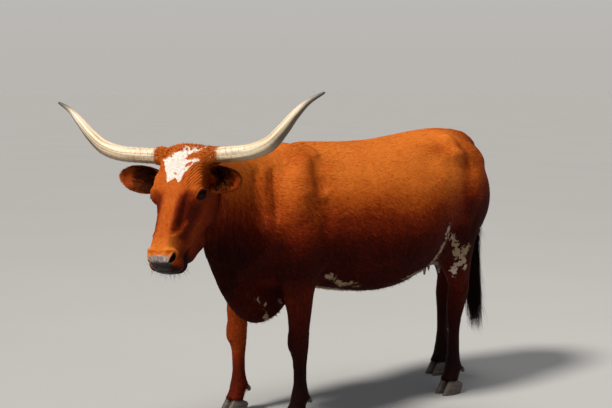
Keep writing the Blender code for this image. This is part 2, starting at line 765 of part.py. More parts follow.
def mouth_line(tree):
    """The line between the lips, from the left corner round the front to the right one."""
    points = []
    for j in range(25):
        turn = math.pi * (j / 24 - 0.5)
        u = MOUTH_CORNER[0] + (MOUTH_FRONT[0] - MOUTH_CORNER[0]) * math.cos(turn) ** 0.8
        w = MOUTH_CORNER[2] + (MOUTH_FRONT[2] - MOUTH_CORNER[2]) * math.cos(turn) ** 0.5
        outside = HEAD @ Vector((u + 0.06 * math.cos(turn), -0.16 * math.sin(turn), w))
        inside = HEAD @ Vector((u - 0.05 * math.cos(turn), 0, w))
        hit = tree.ray_cast(outside, (inside - outside).normalized())[0]
        points.append(hit)
    return points


NOSTRIL = (0.497, 0.047, -0.046)
NOSTRIL_LOOK = (0.55, 0.50, 0.67)
NOSTRIL_RADII = (0.019, 0.0085, 0.016)  # along the comma, across it, and in


def nostril(side, tree):
    """The hollow of one nostril, a slanting comma that runs back into the nose."""
    look = Vector((NOSTRIL_LOOK[0], NOSTRIL_LOOK[1] * side, NOSTRIL_LOOK[2])).normalized()
    start = Vector((NOSTRIL[0], NOSTRIL[1] * side, NOSTRIL[2])) + look * 0.08
    inward = -(HEAD.to_3x3() @ look)
    face = HEAD.inverted() @ tree.ray_cast(HEAD @ start, inward)[0]
    along = Vector((0.62, -0.70 * side, -0.10))
    along = (along - look * along.dot(look)).normalized()
    place = Matrix((along, look.cross(along), look)).transposed().to_4x4()
    place = HEAD @ Matrix.Translation(face - look * 0.002) @ place
    hollow = ball("nostril", (0, 0, 0), NOSTRIL_RADII, frame=place, around=16)
    tail = ball("slit", (-0.017, 0.003 * side, 0), (0.011, 0.0045, 0.007), frame=place, around=12)
    return combine(hollow, tail, "UNION")


def head_form():
    """The head before its openings are cut."""
    pieces = [head_loft(), keel_tube("neck_end", NECK_STATIONS[2:])] + head_lumps()
    pieces.append(keel_tube("throat", DEWLAP_STATIONS[:5], count=16))
    head = fused("head", pieces, HEAD_VOXEL, 6)
    nape, to_neck = nape_plane()
    head = combine(head, half_space("behind_head", nape - to_neck * (GAP / 2), to_neck), "DIFFERENCE")
    return thinned(head, HEAD_TRIANGLES)


def open_head(head):
    """Gives the head its lids, sockets, nostrils and the line of the mouth."""
    tree = surface_of(head)
    lips = wire("lips", mouth_line(tree), 0.0042)
    for side in (1, -1):
        combine(head, lid_rim("lid", side, tree), "UNION")
    for side in (1, -1):
        socket = ball("socket", (0, 0, 0), (EYE_RADIUS + GAP,) * 3, frame=eye_frame(side), around=18)
        opening = almond("opening", 0.0, 0.0, 0.06)
        opening.data.transform(eye_frame(side))
        combine(socket, opening, "UNION")
        combine(head, socket, "DIFFERENCE")
        combine(head, nostril(side, tree), "DIFFERENCE")
    combine(head, lips, "DIFFERENCE")
    return head


def eyeball(side):
    """One eye, in its socket."""
    name = "eye_left" if side == 1 else "eye_right"
    shape = bmesh.new()
    bmesh.ops.create_uvsphere(shape, u_segments=18, v_segments=9, radius=EYE_RADIUS - GAP)
    bmesh.ops.transform(shape, matrix=eye_frame(side), verts=shape.verts)
    data = bpy.data.meshes.new(name)
    shape.to_mesh(data)
    shape.free()
    made = bpy.data.objects.new(name, data)
    bpy.context.scene.collection.objects.link(made)
    return made


# Horns and ears.


def horn(side, clear_of):
    """One horn: thick and level at first, then swept up and drawn out to its tip."""
    name = "horn_left" if side == 1 else "horn_right"
    line = smooth_rows([(u, v * side, w) for u, v, w in HORN_LINE], 3)
    count = 12
    rings = []
    for i, p in enumerate(line):
        t = i / (len(line) - 1)
        ahead = line[min(i + 1, len(line) - 1)] - line[max(i - 1, 0)]
        ahead = Vector(ahead).normalized()
        across = ahead.cross(Vector((0, 0, 1))).normalized()
        above = across.cross(ahead)
        radius = HORN_RADIUS * (1 - max(0.0, (t - 0.45) / 0.55) ** 1.25 * 0.87)
        ring = [
            HEAD @ (Vector(p) + radius * (across * math.cos(a) + above * math.sin(a)))
            for a in (2 * math.pi * j / count for j in range(count))
        ]
        rings.append(ring)
    made = tube(name, rings)
    return combine(made, clear_of, "DIFFERENCE", keep_other=True)


EAR_LENGTH = 0.205
EAR_HALF_WIDTH = 0.055
EAR_THICKNESS = 0.006
# The ear's root and the way it points and opens, in the head's frame. The left one listens forward.
EARS = {
    1: {"root": (0.106, 0.108, -0.126), "along": (0.28, 0.84, 0.47), "open": (0.35, -0.55, 0.70)},
    -1: {"root": (0.120, -0.104, -0.128), "along": (0.03, -0.92, 0.38), "open": (0.45, 0.30, 0.80)},
}


def ear_width(t):
    """Half the ear's width at a share of its length."""
    grow = min(1.0, t / 0.45)
    swell = 0.36 + 0.64 * math.sin(grow * math.pi / 2) ** 1.2
    point = math.sqrt(max(0.0, 1 - (max(0.0, t - 0.45) / 0.55) ** 3.0))
    return EAR_HALF_WIDTH * swell * point


def ear(side, clear_of, horn_beside):
    """One ear: a leaf rolled into a cup, open to the front, thick where it leaves the head."""
    name = "ear_left" if side == 1 else "ear_right"
    facts = EARS[side]
    along = Vector(facts["along"]).normalized()
    opens = Vector(facts["open"])
    opens = (opens - along * opens.dot(along)).normalized()
    across = along.cross(opens)
    outer, inner = [], []
    shares = [0.0, 0.10, 0.22, 0.35, 0.48, 0.61, 0.73, 0.84, 0.92, 0.975]
    for t in shares:
        half = ear_width(t)
        roll = math.radians(150 - 62 * min(1.0, t / 0.6))  # how far each edge is rolled up
        radius = half / math.sin(min(roll, math.pi / 2))
        droop = -0.020 * t * t
        for store, shrink in ((outer, 0.0), (inner, EAR_THICKNESS)):
            row = []
            for j in range(9):
                a = roll * (j / 4 - 1)
                r = max(radius - shrink, 0.0006)
                x = r * math.sin(a)
                z = radius - r * math.cos(a)
                row.append(
                    Vector(facts["root"])
                    + along * (t * EAR_LENGTH - 0.012)
                    + across * x
                    + opens * (z - 0.030 * (1 - t) + droop)
                )
            store.append(row)
    rings = []
    for out_row, in_row in zip(outer, inner):
        rings.append([HEAD @ p for p in out_row] + [HEAD @ p for p in reversed(in_row)])
    made = tube(name, rings)
    combine(made, swollen(horn_beside, 0.002), "DIFFERENCE")
    return combine(made, clear_of, "DIFFERENCE", keep_other=True)


# Feet.


def claw(name, x, y, side_of_foot, slope_point, slope_normal):
    """One claw: an upright half hoof with a flat sole, cut off along the hair line."""
    middle = y + side_of_foot * (CLAW_WIDTH + CLAW_SPLIT) / 2
    rings = []
    for z in (0.0, 0.012, 0.045, 0.100):
        lean = 0.52 * z  # the toe slopes back as it rises
        long = CLAW_LENGTH / 2 - 0.13 * z
        wide = CLAW_WIDTH / 2 - 0.02 * z
        ring = []
        for j in range(16):
            turn = 2 * math.pi * j / 16
            c, s = superellipse(turn, 2.6)
            narrow = 1 - 0.22 * max(0.0, -c)  # toward the toe
            ring.append(Vector((x - 0.036 + lean + long * c, middle + wide * s * narrow, z)))
        rings.append(ring)
    made = tube(name, rings)
    above = half_space("above", slope_point - slope_normal * GAP, slope_normal)
    return combine(made, above, "DIFFERENCE")


def dewclaw(name, x, y, clear_of):
    """One of the two small claws behind the fetlock."""
    made = ball(name, (x + 0.046, y, 0.112), (0.012, 0.011, 0.019), (0, -28, 0), around=10)
    return combine(made, clear_of, "DIFFERENCE", keep_other=True)


def feet(clear_of):
    made = []
    for end, feet_x, spread in (("front", FRONT_FOOT_X, FRONT_FOOT_Y), ("hind", HIND_FOOT_X, HIND_FOOT_Y)):
        for side in (LEFT, RIGHT):
            x, y = feet_x[side], spread * side
            point, normal = coronet_plane(x)
            for where, out in (("outer", side), ("inner", -side)):
                tag = f"{end}_{SIDES[side]}_{where}"
                made.append(claw(f"claw_{tag}", x, y, out, point, normal))
                made.append(dewclaw(f"dewclaw_{tag}", x, y + out * 0.021, clear_of))
    return made


# Tail and udder.

TAIL_LINE = [
    ((0.590, 0, 1.232), 0.036),
    ((0.640, 0, 1.214), 0.034),
    ((0.675, 0, 1.168), 0.031),
    ((0.692, 0, 1.100), 0.026),
    ((0.699, 0, 1.000), 0.021),
    ((0.700, 0, 0.860), 0.018),
    ((0.702, 0, 0.740), 0.016),
    ((0.700, 0, 0.660), 0.0155),
]
SWITCH_TOP = TAIL_LINE[-1][0][2] - GAP
SWITCH_CORE = [  # the hair's solid middle, half way to the tips
    ((0.7000, 0.000, SWITCH_TOP), 0.016),
    ((0.7030, -0.002, 0.590), 0.021),
    ((0.7045, -0.004, 0.520), 0.023),
    ((0.7050, -0.005, 0.450), 0.016),
    ((0.7050, -0.006, 0.405), 0.007),
]
LOCK_ROWS = [  # the height of each row's roots, how many locks it has, and how far down they reach
    (0.625, 7, 0.25),
    (0.575, 8, 0.29),
    (0.520, 8, 0.28),
    (0.465, 7, 0.25),
]
LOCK_WIDTH = 0.026
LOCK_THICKNESS = 0.009
LOCK_SPREAD = 0.046  # how far the tips stand out from the middle
LOCK_DRIFT = 0.030  # how far back the tips hang


def tail(clear_of):
    rings = []
    rows = smooth_rows([(*p, r) for p, r in TAIL_LINE], 2)
    for i, row in enumerate(rows):
        ahead = Vector(rows[min(i + 1, len(rows) - 1)][:3]) - Vector(rows[max(i - 1, 0)][:3])
        if i >= len(rows) - 1:
            ahead = Vector((0, 0, -1))
        ahead.normalize()
        across = Vector((0, 1, 0))
        back = ahead.cross(across)
        ring = [
            Vector(row[:3]) + (across * math.cos(a) * 1.1 + back * math.sin(a)) * float(row[3])
            for a in (2 * math.pi * j / 12 for j in range(12))
        ]
        rings.append(ring)
    made = tube("tail", rings)
    return combine(made, clear_of, "DIFFERENCE", keep_other=True)


def lock(around, root_height, reach, draw):
    """One flat, tapered, bending lock, its root sunk in the switch's middle."""
    middle = Vector(SWITCH_CORE[2][0])
    out = Vector((math.cos(around), math.sin(around), 0))
    side = Vector((-math.sin(around), math.cos(around), 0))
    spread = LOCK_SPREAD * draw.uniform(0.65, 1.15)
    sway = draw.uniform(-0.022, 0.022)
    width = LOCK_WIDTH * draw.uniform(0.85, 1.15)
    rings = []
    for t in (0.0, 0.16, 0.40, 0.66, 0.86, 1.0):
        away = 0.006 + spread * (1 - (1 - t) ** 2.2) * (1 - 0.35 * t * t)
        place = Vector((middle.x, middle.y, root_height)) + out * away + side * sway * t * t
        place += Vector((LOCK_DRIFT * t * t, 0, -reach * t ** 1.15))
        slim = max(0.05, (1 - t**2.4) * (0.72 + 0.28 * math.sin(math.pi * min(1.0, t * 1.6))))
        half, thick = width / 2 * slim, LOCK_THICKNESS / 2 * slim
        rings.append([place + side * half, place + out * thick, place - side * half, place - out * thick])
    return tube("lock", rings)


def united(piece, others):
    """One union of a piece and many others, whose own objects go."""
    group = bpy.data.collections.new("joined_in")
    for other in others:
        group.objects.link(other)
    step = piece.modifiers.new("unite", "BOOLEAN")
    step.operation = "UNION"
    step.operand_type = "COLLECTION"
    step.collection = group
    step.solver = "EXACT"
    apply_modifiers(piece)
    for other in others:
        bpy.data.objects.remove(other)
    bpy.data.collections.remove(group)
    return largest_shell(piece)


def switch():
    """The long hair at the end of the tail: a short middle with overlapping locks."""
    draw = random.Random(7)
    core = triangulated(limb("tail_switch", [(p, r, r) for p, r in SWITCH_CORE], steps=1, count=10))
    locks = []
    for row, (height, count, reach) in enumerate(LOCK_ROWS):
        for i in range(count):
            around = 2 * math.pi * (i + 0.5 * (row % 2)) / count + draw.uniform(-0.12, 0.12)
            piece = lock(around, height + draw.uniform(-0.012, 0.012), reach * draw.uniform(0.86, 1.1), draw)
            locks.append(triangulated(piece))
    return united(core, locks)


def udder(clear_of):
    """A small udder between the thighs, with its four teats."""
    bag = ball("udder", (0.395, 0, 0.700), (0.115, 0.085, 0.095))
    for x in (0.345, 0.440):
        for y in (-0.038, 0.038):
            teat = limb(
                "teat",
                [((x, y, 0.660), 0.015, 0.015), ((x, y, 0.600), 0.0125, 0.0125), ((x, y, 0.567), 0.0105, 0.0105)],
                steps=1,
                count=8,
            )
            combine(bag, teat, "UNION")
    thinned(bag, 420)
    return combine(bag, clear_of, "DIFFERENCE", keep_other=True)


# The whole animal.


def dressed(piece, colour):
    piece.data.materials.clear()
    piece.data.materials.append(finish(colour))
    piece.data.shade_smooth()
    piece.data.set_sharp_from_angle(angle=math.radians(50))
    piece.location = -MIDDLE
    return piece


def main():
    empty_scene()
    skin = thinned(body_skin(), BODY_TRIANGLES)
    around_body = swollen(skin, GAP)
    parts = parted_body(skin)
    head = head_form()
    around_head = swollen(head, GAP)
    open_head(head)
    pieces = {"red_hide": [*parts.values(), head]}
    horns = {side: horn(side, around_head) for side in (1, -1)}
    pieces["horn"] = list(horns.values())
    pieces["red_hide"] += [ear(side, around_head, horns[side]) for side in (1, -1)]
    pieces["eye"] = [eyeball(side) for side in (1, -1)]
    pieces["hoof"] = feet(around_body)
    pieces["udder_skin"] = [udder(around_body)]
    pieces["red_hide"].append(tail(around_body))
    pieces["dark_hair"] = [switch()]
    bpy.data.objects.remove(around_head)
    bpy.data.objects.remove(around_body)
    shown = bpy.data.collections.new("longhorn")
    bpy.context.scene.collection.children.link(shown)
    for colour, group in pieces.items():
        for piece in group:
            dressed(piece, colour)
            bpy.context.scene.collection.objects.unlink(piece)
            shown.objects.link(piece)


main()
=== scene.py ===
# %% [markdown]
# # A life-size red longhorn cow, as a museum would show it
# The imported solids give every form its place: head, neck, trunk, legs, ears, horns, eyes, hooves, tail.
# This lesson dresses them. One could paint the solids as they are, but their parting lines and flat facets
# would show. So one skin is drawn over all the flesh, a short coat is laid on it tuft by tuft, and the hard
# parts (eyes, horns, hooves) get finer pieces of their own.

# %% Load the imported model
import json
import math
import bmesh
import bpy
import numpy as np
from mathutils import Matrix, Vector
from mathutils.bvhtree import BVHTree

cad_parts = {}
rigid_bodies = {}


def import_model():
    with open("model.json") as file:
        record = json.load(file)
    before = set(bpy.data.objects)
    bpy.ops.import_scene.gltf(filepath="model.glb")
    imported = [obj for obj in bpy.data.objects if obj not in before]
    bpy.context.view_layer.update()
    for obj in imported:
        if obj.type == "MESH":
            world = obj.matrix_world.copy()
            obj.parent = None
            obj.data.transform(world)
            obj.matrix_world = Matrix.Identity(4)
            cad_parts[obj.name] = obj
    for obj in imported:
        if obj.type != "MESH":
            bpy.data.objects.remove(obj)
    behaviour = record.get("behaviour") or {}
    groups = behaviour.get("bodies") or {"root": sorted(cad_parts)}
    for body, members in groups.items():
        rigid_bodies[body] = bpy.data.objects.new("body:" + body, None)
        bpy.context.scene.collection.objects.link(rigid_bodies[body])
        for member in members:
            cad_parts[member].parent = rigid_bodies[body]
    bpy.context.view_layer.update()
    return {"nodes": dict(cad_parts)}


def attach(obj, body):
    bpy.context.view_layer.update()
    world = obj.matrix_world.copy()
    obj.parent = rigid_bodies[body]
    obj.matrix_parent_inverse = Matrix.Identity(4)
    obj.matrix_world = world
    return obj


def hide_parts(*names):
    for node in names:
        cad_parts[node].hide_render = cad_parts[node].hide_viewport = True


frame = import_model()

# %% [markdown]
# ## Two frames to measure in
# A cow is easiest to describe from the spot between her feet, with X toward the tail, Y toward her right and
# Z up. Her head is turned, dipped and tilted, so its own forms are easier to describe along the face: u runs
# toward the nose, v toward her left, w out of the forehead. Both are plain changes of axes, so one matrix
# holds the head's, and a single shift holds the body's.

# %% The cow's frame and the head's
MIDDLE = np.array((-0.31765, -0.1996, 0.0))
LEFT, RIGHT = -1, 1
POLL = Vector((-1.11, -0.225, 1.285))
HEAD_YAW = math.radians(35)
HEAD_PITCH = math.radians(57)
HEAD_ROLL = math.radians(4.4)


def head_matrix():
    """From (toward the nose, to the left, out of the forehead) to the model's frame."""
    ahead = Vector((-math.cos(HEAD_YAW), -math.sin(HEAD_YAW), 0))
    left = Vector((math.sin(HEAD_YAW), -math.cos(HEAD_YAW), 0))
    up = Vector((0, 0, 1))
    nose = ahead * math.cos(HEAD_PITCH) - up * math.sin(HEAD_PITCH)
    brow = ahead * math.sin(HEAD_PITCH) + up * math.cos(HEAD_PITCH)
    side = left * math.cos(HEAD_ROLL) + brow * math.sin(HEAD_ROLL)
    out = brow * math.cos(HEAD_ROLL) - left * math.sin(HEAD_ROLL)
    turn = Matrix((nose, side, out)).transposed().to_4x4()
    return Matrix.Translation(POLL - Vector(MIDDLE)) @ turn


HEAD = head_matrix()
HEAD_AXES = np.array(HEAD.to_3x3())
HEAD_ORIGIN = np.array(HEAD.translation)


def to_head(points):
    return (np.asarray(points) - HEAD_ORIGIN) @ HEAD_AXES


def from_head(points):
    return np.asarray(points) @ HEAD_AXES.T + HEAD_ORIGIN


print("poll at", [round(c, 3) for c in HEAD_ORIGIN])

# %% [markdown]
# ## The camera
# It stands to the cow's left front at a person's eye height, about five metres off, with a long lens, and
# looks a little down. It comes first because every later choice is judged through it.

# %% Camera at the photograph's viewing angle
CAMERA_AT = Vector((-3.21689, -4.19147, 1.56))
CAMERA_TURN = math.radians(36)
CAMERA_DIP = math.radians(6.28)
SENSOR_WIDTH = 36
FRAME_WIDTH, FOCAL_LENGTH = 612, 1200  # in pixels of the photograph


def add_camera():
    right = Vector((math.cos(CAMERA_TURN), -math.sin(CAMERA_TURN), 0))
    ahead = Vector((math.sin(CAMERA_TURN), math.cos(CAMERA_TURN), 0))
    look = ahead * math.cos(CAMERA_DIP) - Vector((0, 0, math.sin(CAMERA_DIP)))
    above = right.cross(look)
    lens = bpy.data.cameras.new("camera")
    lens.sensor_width = SENSOR_WIDTH
    lens.lens = SENSOR_WIDTH * FOCAL_LENGTH / FRAME_WIDTH
    camera = bpy.data.objects.new("camera", lens)
    camera.matrix_world = Matrix.Translation(CAMERA_AT) @ Matrix((right, above, -look)).transposed().to_4x4()
    bpy.context.scene.collection.objects.link(camera)
    bpy.context.scene.camera = camera
    return camera


print("camera:", add_camera().data.lens, "mm")

# %% [markdown]
# ## Small tools for meshes
# Skins and coats have many thousands of points. Moving them one at a time in a loop is slow, so points are
# read into arrays, moved all at once and written back. These few helpers do the reading and writing.

# %% Reading and writing meshes
def link(name, data):
    made = bpy.data.objects.new(name, data)
    bpy.context.scene.collection.objects.link(made)
    return made


def mesh_from(name, points, faces):
    """A mesh from an array of points and an array of faces with as many corners each."""
    faces = np.ascontiguousarray(faces, np.int32)
    data = bpy.data.meshes.new(name)
    data.vertices.add(len(points))
    data.vertices.foreach_set("co", np.ascontiguousarray(points, np.float32).ravel())
    data.loops.add(faces.size)
    data.loops.foreach_set("vertex_index", faces.ravel())
    data.polygons.add(len(faces))
    data.polygons.foreach_set("loop_start", np.arange(0, faces.size, faces.shape[1], dtype=np.int32))
    data.update(calc_edges=True)
    data.validate()
    return data


def points_of(data):
    found = np.empty(len(data.vertices) * 3, np.float32)
    data.vertices.foreach_get("co", found)
    return found.reshape(-1, 3).astype(float)


def set_points(data, points):
    data.vertices.foreach_set("co", np.ascontiguousarray(points, np.float32).ravel())
    data.update()


def normals_of(data):
    found = np.empty(len(data.vertices) * 3, np.float32)
    data.vertex_normals.foreach_get("vector", found)
    return found.reshape(-1, 3).astype(float)


def edges_of(data):
    found = np.empty(len(data.edges) * 2, np.int32)
    data.edges.foreach_get("vertices", found)
    return found.reshape(-1, 2)


def keep_number(data, name, values):
    """Stores one number for each point, for a material to read."""
    layer = data.attributes.get(name) or data.attributes.new(name, "FLOAT", "POINT")
    layer.data.foreach_set("value", np.ascontiguousarray(values, np.float32))


def keep_place(data, name, values):
    layer = data.attributes.new(name, "FLOAT_VECTOR", "POINT")
    layer.data.foreach_set("vector", np.ascontiguousarray(values, np.float32).ravel())


def rise(low, high, value):
    """Nothing up to the first number, one from the second on, with soft ends."""
    t = np.clip((value - low) / (high - low), 0, 1)
    return t * t * (3 - 2 * t)


def fade(low, high, value):
    """One up to the first number, nothing from the second on."""
    return 1 - rise(low, high, value)


def hump(away, width):
    """One at no distance, and next to nothing beyond two widths."""
    return np.exp(-((away / width) ** 2))


def unit_rows(rows):
    return rows / np.linalg.norm(rows, axis=1)[:, None]


def apply_modifiers(piece):
    graph = bpy.context.evaluated_depsgraph_get()
    data = bpy.data.meshes.new_from_object(piece.evaluated_get(graph))
    old = piece.data
    piece.modifiers.clear()
    piece.data = data
    bpy.data.meshes.remove(old)
    return piece


def relax(data, weight, rounds, step=0.5):
    """Draws each point toward the middle of its neighbours, by its own weight."""
    points, ends = points_of(data), edges_of(data)
    first, second = ends[:, 0], ends[:, 1]
    neighbours = np.maximum(np.bincount(ends.ravel(), minlength=len(points)), 1)
    pull = (step * weight)[:, None]
    for _ in range(rounds):
        middle = np.empty_like(points)
        for axis in range(3):
            along = points[:, axis]
            middle[:, axis] = np.bincount(first, along[second], len(points))
            middle[:, axis] += np.bincount(second, along[first], len(points))
        points += (middle / neighbours[:, None] - points) * pull
    set_points(data, points)


print("mesh helpers ready")

# %% [markdown]
# A limb, a horn or a claw is given by a few measured sections. A smooth curve through them gives as many
# sections as the mesh needs, and quads between the sections close the form. Overlapping forms are then made
# one by a voxel remesh, which asks for no matching edges.

# %% Rows of numbers drawn out into smooth lofts
def metres(rows):
    """Nested rows of millimetres, as the tables below give them, in metres."""
    return [metres(row) for row in rows] if isinstance(rows, (list, tuple)) else rows / 1000


def smooth_rows(rows, steps):
    """Rows of numbers read from a smooth curve through the given ones."""
    rows = np.array(rows, float)
    last = len(rows) - 1
    made = []
    for i in range(last):
        before, start, end, after = rows[max(i - 1, 0)], rows[i], rows[i + 1], rows[min(i + 2, last)]
        for t in np.arange(steps) / steps:
            straight = 2 * start + (end - before) * t
            bend = (2 * before - 5 * start + 4 * end - after) * t**2
            made.append(0.5 * (straight + bend + (3 * start - before - 3 * end + after) * t**3))
    made.append(rows[last])
    return np.array(made)


def ring_faces(rows, count, closed=True):
    """Quads between rows of points that each go once round."""
    i, j = np.meshgrid(np.arange(rows - 1), np.arange(count if closed else count - 1), indexing="ij")
    k = (j + 1) % count
    corners = [i * count + j, i * count + k, (i + 1) * count + k, (i + 1) * count + j]
    return np.stack(corners, -1).reshape(-1, 4)


def tube(name, rings):
    """A closed tube through rings of as many points each."""
    rings = np.array(rings)
    rows, count = rings.shape[:2]
    shape = bmesh.new()
    spots = [shape.verts.new(p) for p in rings.reshape(-1, 3)]
    for face in ring_faces(rows, count):
        shape.faces.new([spots[n] for n in face])
    shape.faces.new([spots[n] for n in range(count)])
    shape.faces.new([spots[n] for n in range((rows - 1) * count, rows * count)])
    bmesh.ops.recalc_face_normals(shape, faces=shape.faces)
    data = bpy.data.meshes.new(name)
    shape.to_mesh(data)
    shape.free()
    return link(name, data)


def ball(name, centre, radii, turns=(0, 0, 0)):
    """An ellipsoid in the head's frame, turned by degrees about its axes."""
    shape = bmesh.new()
    bmesh.ops.create_uvsphere(shape, u_segments=32, v_segments=20, radius=1.0)
    turn = Matrix.Identity(4)
    for axis, degrees in zip("XYZ", turns):
        turn = Matrix.Rotation(math.radians(degrees), 4, axis) @ turn
    place = HEAD @ Matrix.Translation(centre) @ turn @ Matrix.Diagonal((*radii, 1.0))
    bmesh.ops.transform(shape, matrix=place, verts=shape.verts)
    data = bpy.data.meshes.new(name)
    shape.to_mesh(data)
    shape.free()
    return link(name, data)


def fused(name, pieces, voxel, rounds):
    """Overlapping closed pieces made one skin, and its creases softened."""
    shape = bmesh.new()
    for piece in pieces:
        shape.from_mesh(piece.data)
        bpy.data.objects.remove(piece)
    data = bpy.data.meshes.new(name)
    shape.to_mesh(data)
    shape.free()
    made = link(name, data)
    skin = made.modifiers.new("skin", "REMESH")
    skin.mode = "VOXEL"
    skin.voxel_size = voxel
    if rounds:
        soften = made.modifiers.new("soften", "SMOOTH")
        soften.factor = 0.5
        soften.iterations = rounds
    return apply_modifiers(made)


print("a curve through 3 rows, in 4 steps each:", len(smooth_rows([(0, 0), (1, 1), (2, 0)], 4)), "rows")

# %% [markdown]
# ## The head's form
# The head gets the most care, so it isn't copied from the coarse solid. The same stations along the face,
# each with half an outline, are lofted again at a finer step, and the bony lumps (poll, horn roots, orbits,
# brows, cheeks, lips) are fused onto it. Sculpting by hand would need a picture to trace; a loft keeps the
# proportions that the solids already have.

# %% Stations and lumps of the head, in millimetres
HEAD_ROWS = metres([
    (-18, [(0, -50), (55, -55), (72, -88), (56, -130), (0, -150)]),
    (4, [(0, -22), (72, -28), (97, -76), (80, -160), (0, -200)]),
    (45, [(0, -2), (80, -10), (107, -74), (84, -180), (0, -240)]),
    (100, [(0, 6), (80, -4), (104, -70), (88, -205), (0, -275)]),
    (160, [(0, 5), (80, -8), (105, -68), (88, -215), (0, -292)]),
    (215, [(0, 0), (72, -8), (100, -70), (82, -212), (0, -290)]),
    (270, [(0, -3), (56, -12), (84, -75), (70, -202), (0, -276)]),
    (330, [(0, -3), (44, -12), (68, -75), (58, -206), (0, -286)]),
    (390, [(0, -4), (37, -13), (56, -70), (48, -188), (0, -264)]),
    (445, [(0, -6), (37, -14), (53, -62), (45, -162), (0, -227)]),
    (486, [(0, -13), (41, -21), (57, -62), (47, -136), (0, -194)]),
    (516, [(0, -28), (37, -34), (53, -70), (43, -118), (0, -166)]),
    (536, [(0, -48), (28, -50), (40, -74), (32, -104), (0, -124)]),
    (543, [(0, -64), (16, -64), (25, -78), (19, -94), (0, -102)]),
])
SINGLE_LUMPS = [
    ("poll", (34, 0, -38), (46, 106, 38), (0, 0, 0)),
    ("chin", (462, 0, -170), (46, 46, 37), (0, 22, 0)),
    ("upper_lip", (514, 0, -90), (35, 59, 33), (0, 0, 0)),
]
PAIRED_LUMPS = [
    ("horn_root", (48, 88, -39), (41, 68, 40), (0, 0, 0)),
    ("orbit", (213, 84, -50), (48, 33, 42), (0, 0, -8)),
    ("brow", (172, 82, -34), (58, 26, 26), (0, 0, -4)),
    ("cheek", (195, 62, -180), (88, 32, 88), (0, 0, 0)),
    ("crest", (300, 62, -98), (75, 14, 16), (0, -8, -10)),
    ("nostril_wing", (490, 41, -50), (30, 20, 27), (0, 0, 0)),
    ("lip_pad", (500, 43, -96), (36, 31, 33), (0, 0, 0)),
    ("ear_root", (108, 94, -122), (34, 32, 36), (0, 0, 0)),
]
HEAD_VOXEL = 0.0028


def head_loft():
    rings = []
    for row in smooth_rows([[u] + [n for pair in half for n in pair] for u, half in HEAD_ROWS], 6):
        half = [(row[i], row[i + 1]) for i in range(1, len(row), 2)]
        outline = half + [(-v, w) for v, w in reversed(half[1:-1])]
        closed = [outline[-1], *outline, outline[0], outline[1]]
        curve = smooth_rows(closed, 8)[8:-16]
        rings.append(from_head(np.column_stack([np.full(len(curve), row[0]), curve])))
    return tube("head_loft", rings)


def head_form():
    pieces = [head_loft()] + [
        ball(name, metres(centre), metres(radii), turns) for name, centre, radii, turns in SINGLE_LUMPS
    ]
    for side in (1, -1):
        for name, (u, v, w), radii, turns in PAIRED_LUMPS:
            turned = (turns[0] * side, turns[1], turns[2] * side)
            pieces.append(ball(name, metres((u, v * side, w)), metres(radii), turned))
    return fused("head_form", pieces, HEAD_VOXEL, 8)


form = head_form()
form_tree = BVHTree.FromPolygons(points_of(form.data).tolist(), [p.vertices[:] for p in form.data.polygons])
print("head form:", len(form.data.vertices), "points")

# %% [markdown]
# ## One skin over all the flesh
# Neck, trunk, legs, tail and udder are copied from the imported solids, each swollen by less than a millimetre
# so that the thin parting gaps close, and fused with the head's form. A voxel remesh is the surest way to
# make one closed skin of overlapping pieces. It costs small detail, which is modelled again further on.

# %% Fuse the flesh
SKIN_VOXEL = 0.0074
LEGS = [f"{end}_leg_{side}" for end in ("front", "hind") for side in ("left", "right")]
FLESH = ["neck", "torso", "tail", "udder"] + LEGS
TAIL_X = 0.7015


def copy_of_solid(name, grow=0.0008):
    shape = bmesh.new()
    shape.from_mesh(frame["nodes"][name].data)
    bmesh.ops.remove_doubles(shape, verts=shape.verts, dist=1e-5)
    shape.normal_update()
    for spot in shape.verts:
        spot.co += spot.normal * grow
    data = bpy.data.meshes.new("copy_of_" + name)
    shape.to_mesh(data)
    shape.free()
    return link("copy_of_" + name, data)


def tail_bone():
    """The thin end of the tail, inside the long hair."""
    rings = []
    for z, radius in ((0.7, 0.013), (0.62, 0.012), (0.54, 0.009), (0.47, 0.005)):
        turn = np.arange(12) * math.pi / 6
        ring = np.column_stack([TAIL_X + radius * np.cos(turn), radius * np.sin(turn), np.full(12, z)])
        rings.append(ring - MIDDLE)
    return tube("tail_bone", rings)


def drop_small_shells(piece):
    """Keeps the largest connected surface."""
    shape = bmesh.new()
    shape.from_mesh(piece.data)
    shape.verts.ensure_lookup_table()
    seen = np.zeros(len(shape.verts), bool)
    shells = []
    for start in shape.verts:
        if seen[start.index]:
            continue
        seen[start.index] = True
        shell, front = [start], [start]
        while front:
            spot = front.pop()
            for edge in spot.link_edges:
                other = edge.other_vert(spot)
                if not seen[other.index]:
                    seen[other.index] = True
                    shell.append(other)
                    front.append(other)
        shells.append(shell)
    shells.sort(key=len)
    for shell in shells[:-1]:
        bmesh.ops.delete(shape, geom=shell, context="VERTS")
    shape.to_mesh(piece.data)
    shape.free()


head_copy = link("head_copy", form.data.copy())
skin = fused("skin", [copy_of_solid(name) for name in FLESH] + [tail_bone(), head_copy], SKIN_VOXEL, 0)
drop_small_shells(skin)
print("skin:", len(skin.data.polygons), "faces")

# %% [markdown]
# Every point of the skin asks which solid it lies nearest to. That answer steers how much it is smoothed,
# which way its hair lies and what colour it has, so no region has to be drawn by hand.

# %% Which solid is each point of the skin nearest to?
PARTS = ["head", "ear_left", "ear_right"] + FLESH


def solids_tree():
    spots, faces, owner = [], [], []
    for index, name in enumerate(PARTS):
        data = frame["nodes"][name].data
        start = len(spots)
        spots += points_of(data).tolist()
        faces += [tuple(start + n for n in p.vertices) for p in data.polygons]
        owner += [index] * len(data.polygons)
    return BVHTree.FromPolygons(spots, faces), np.array(owner)


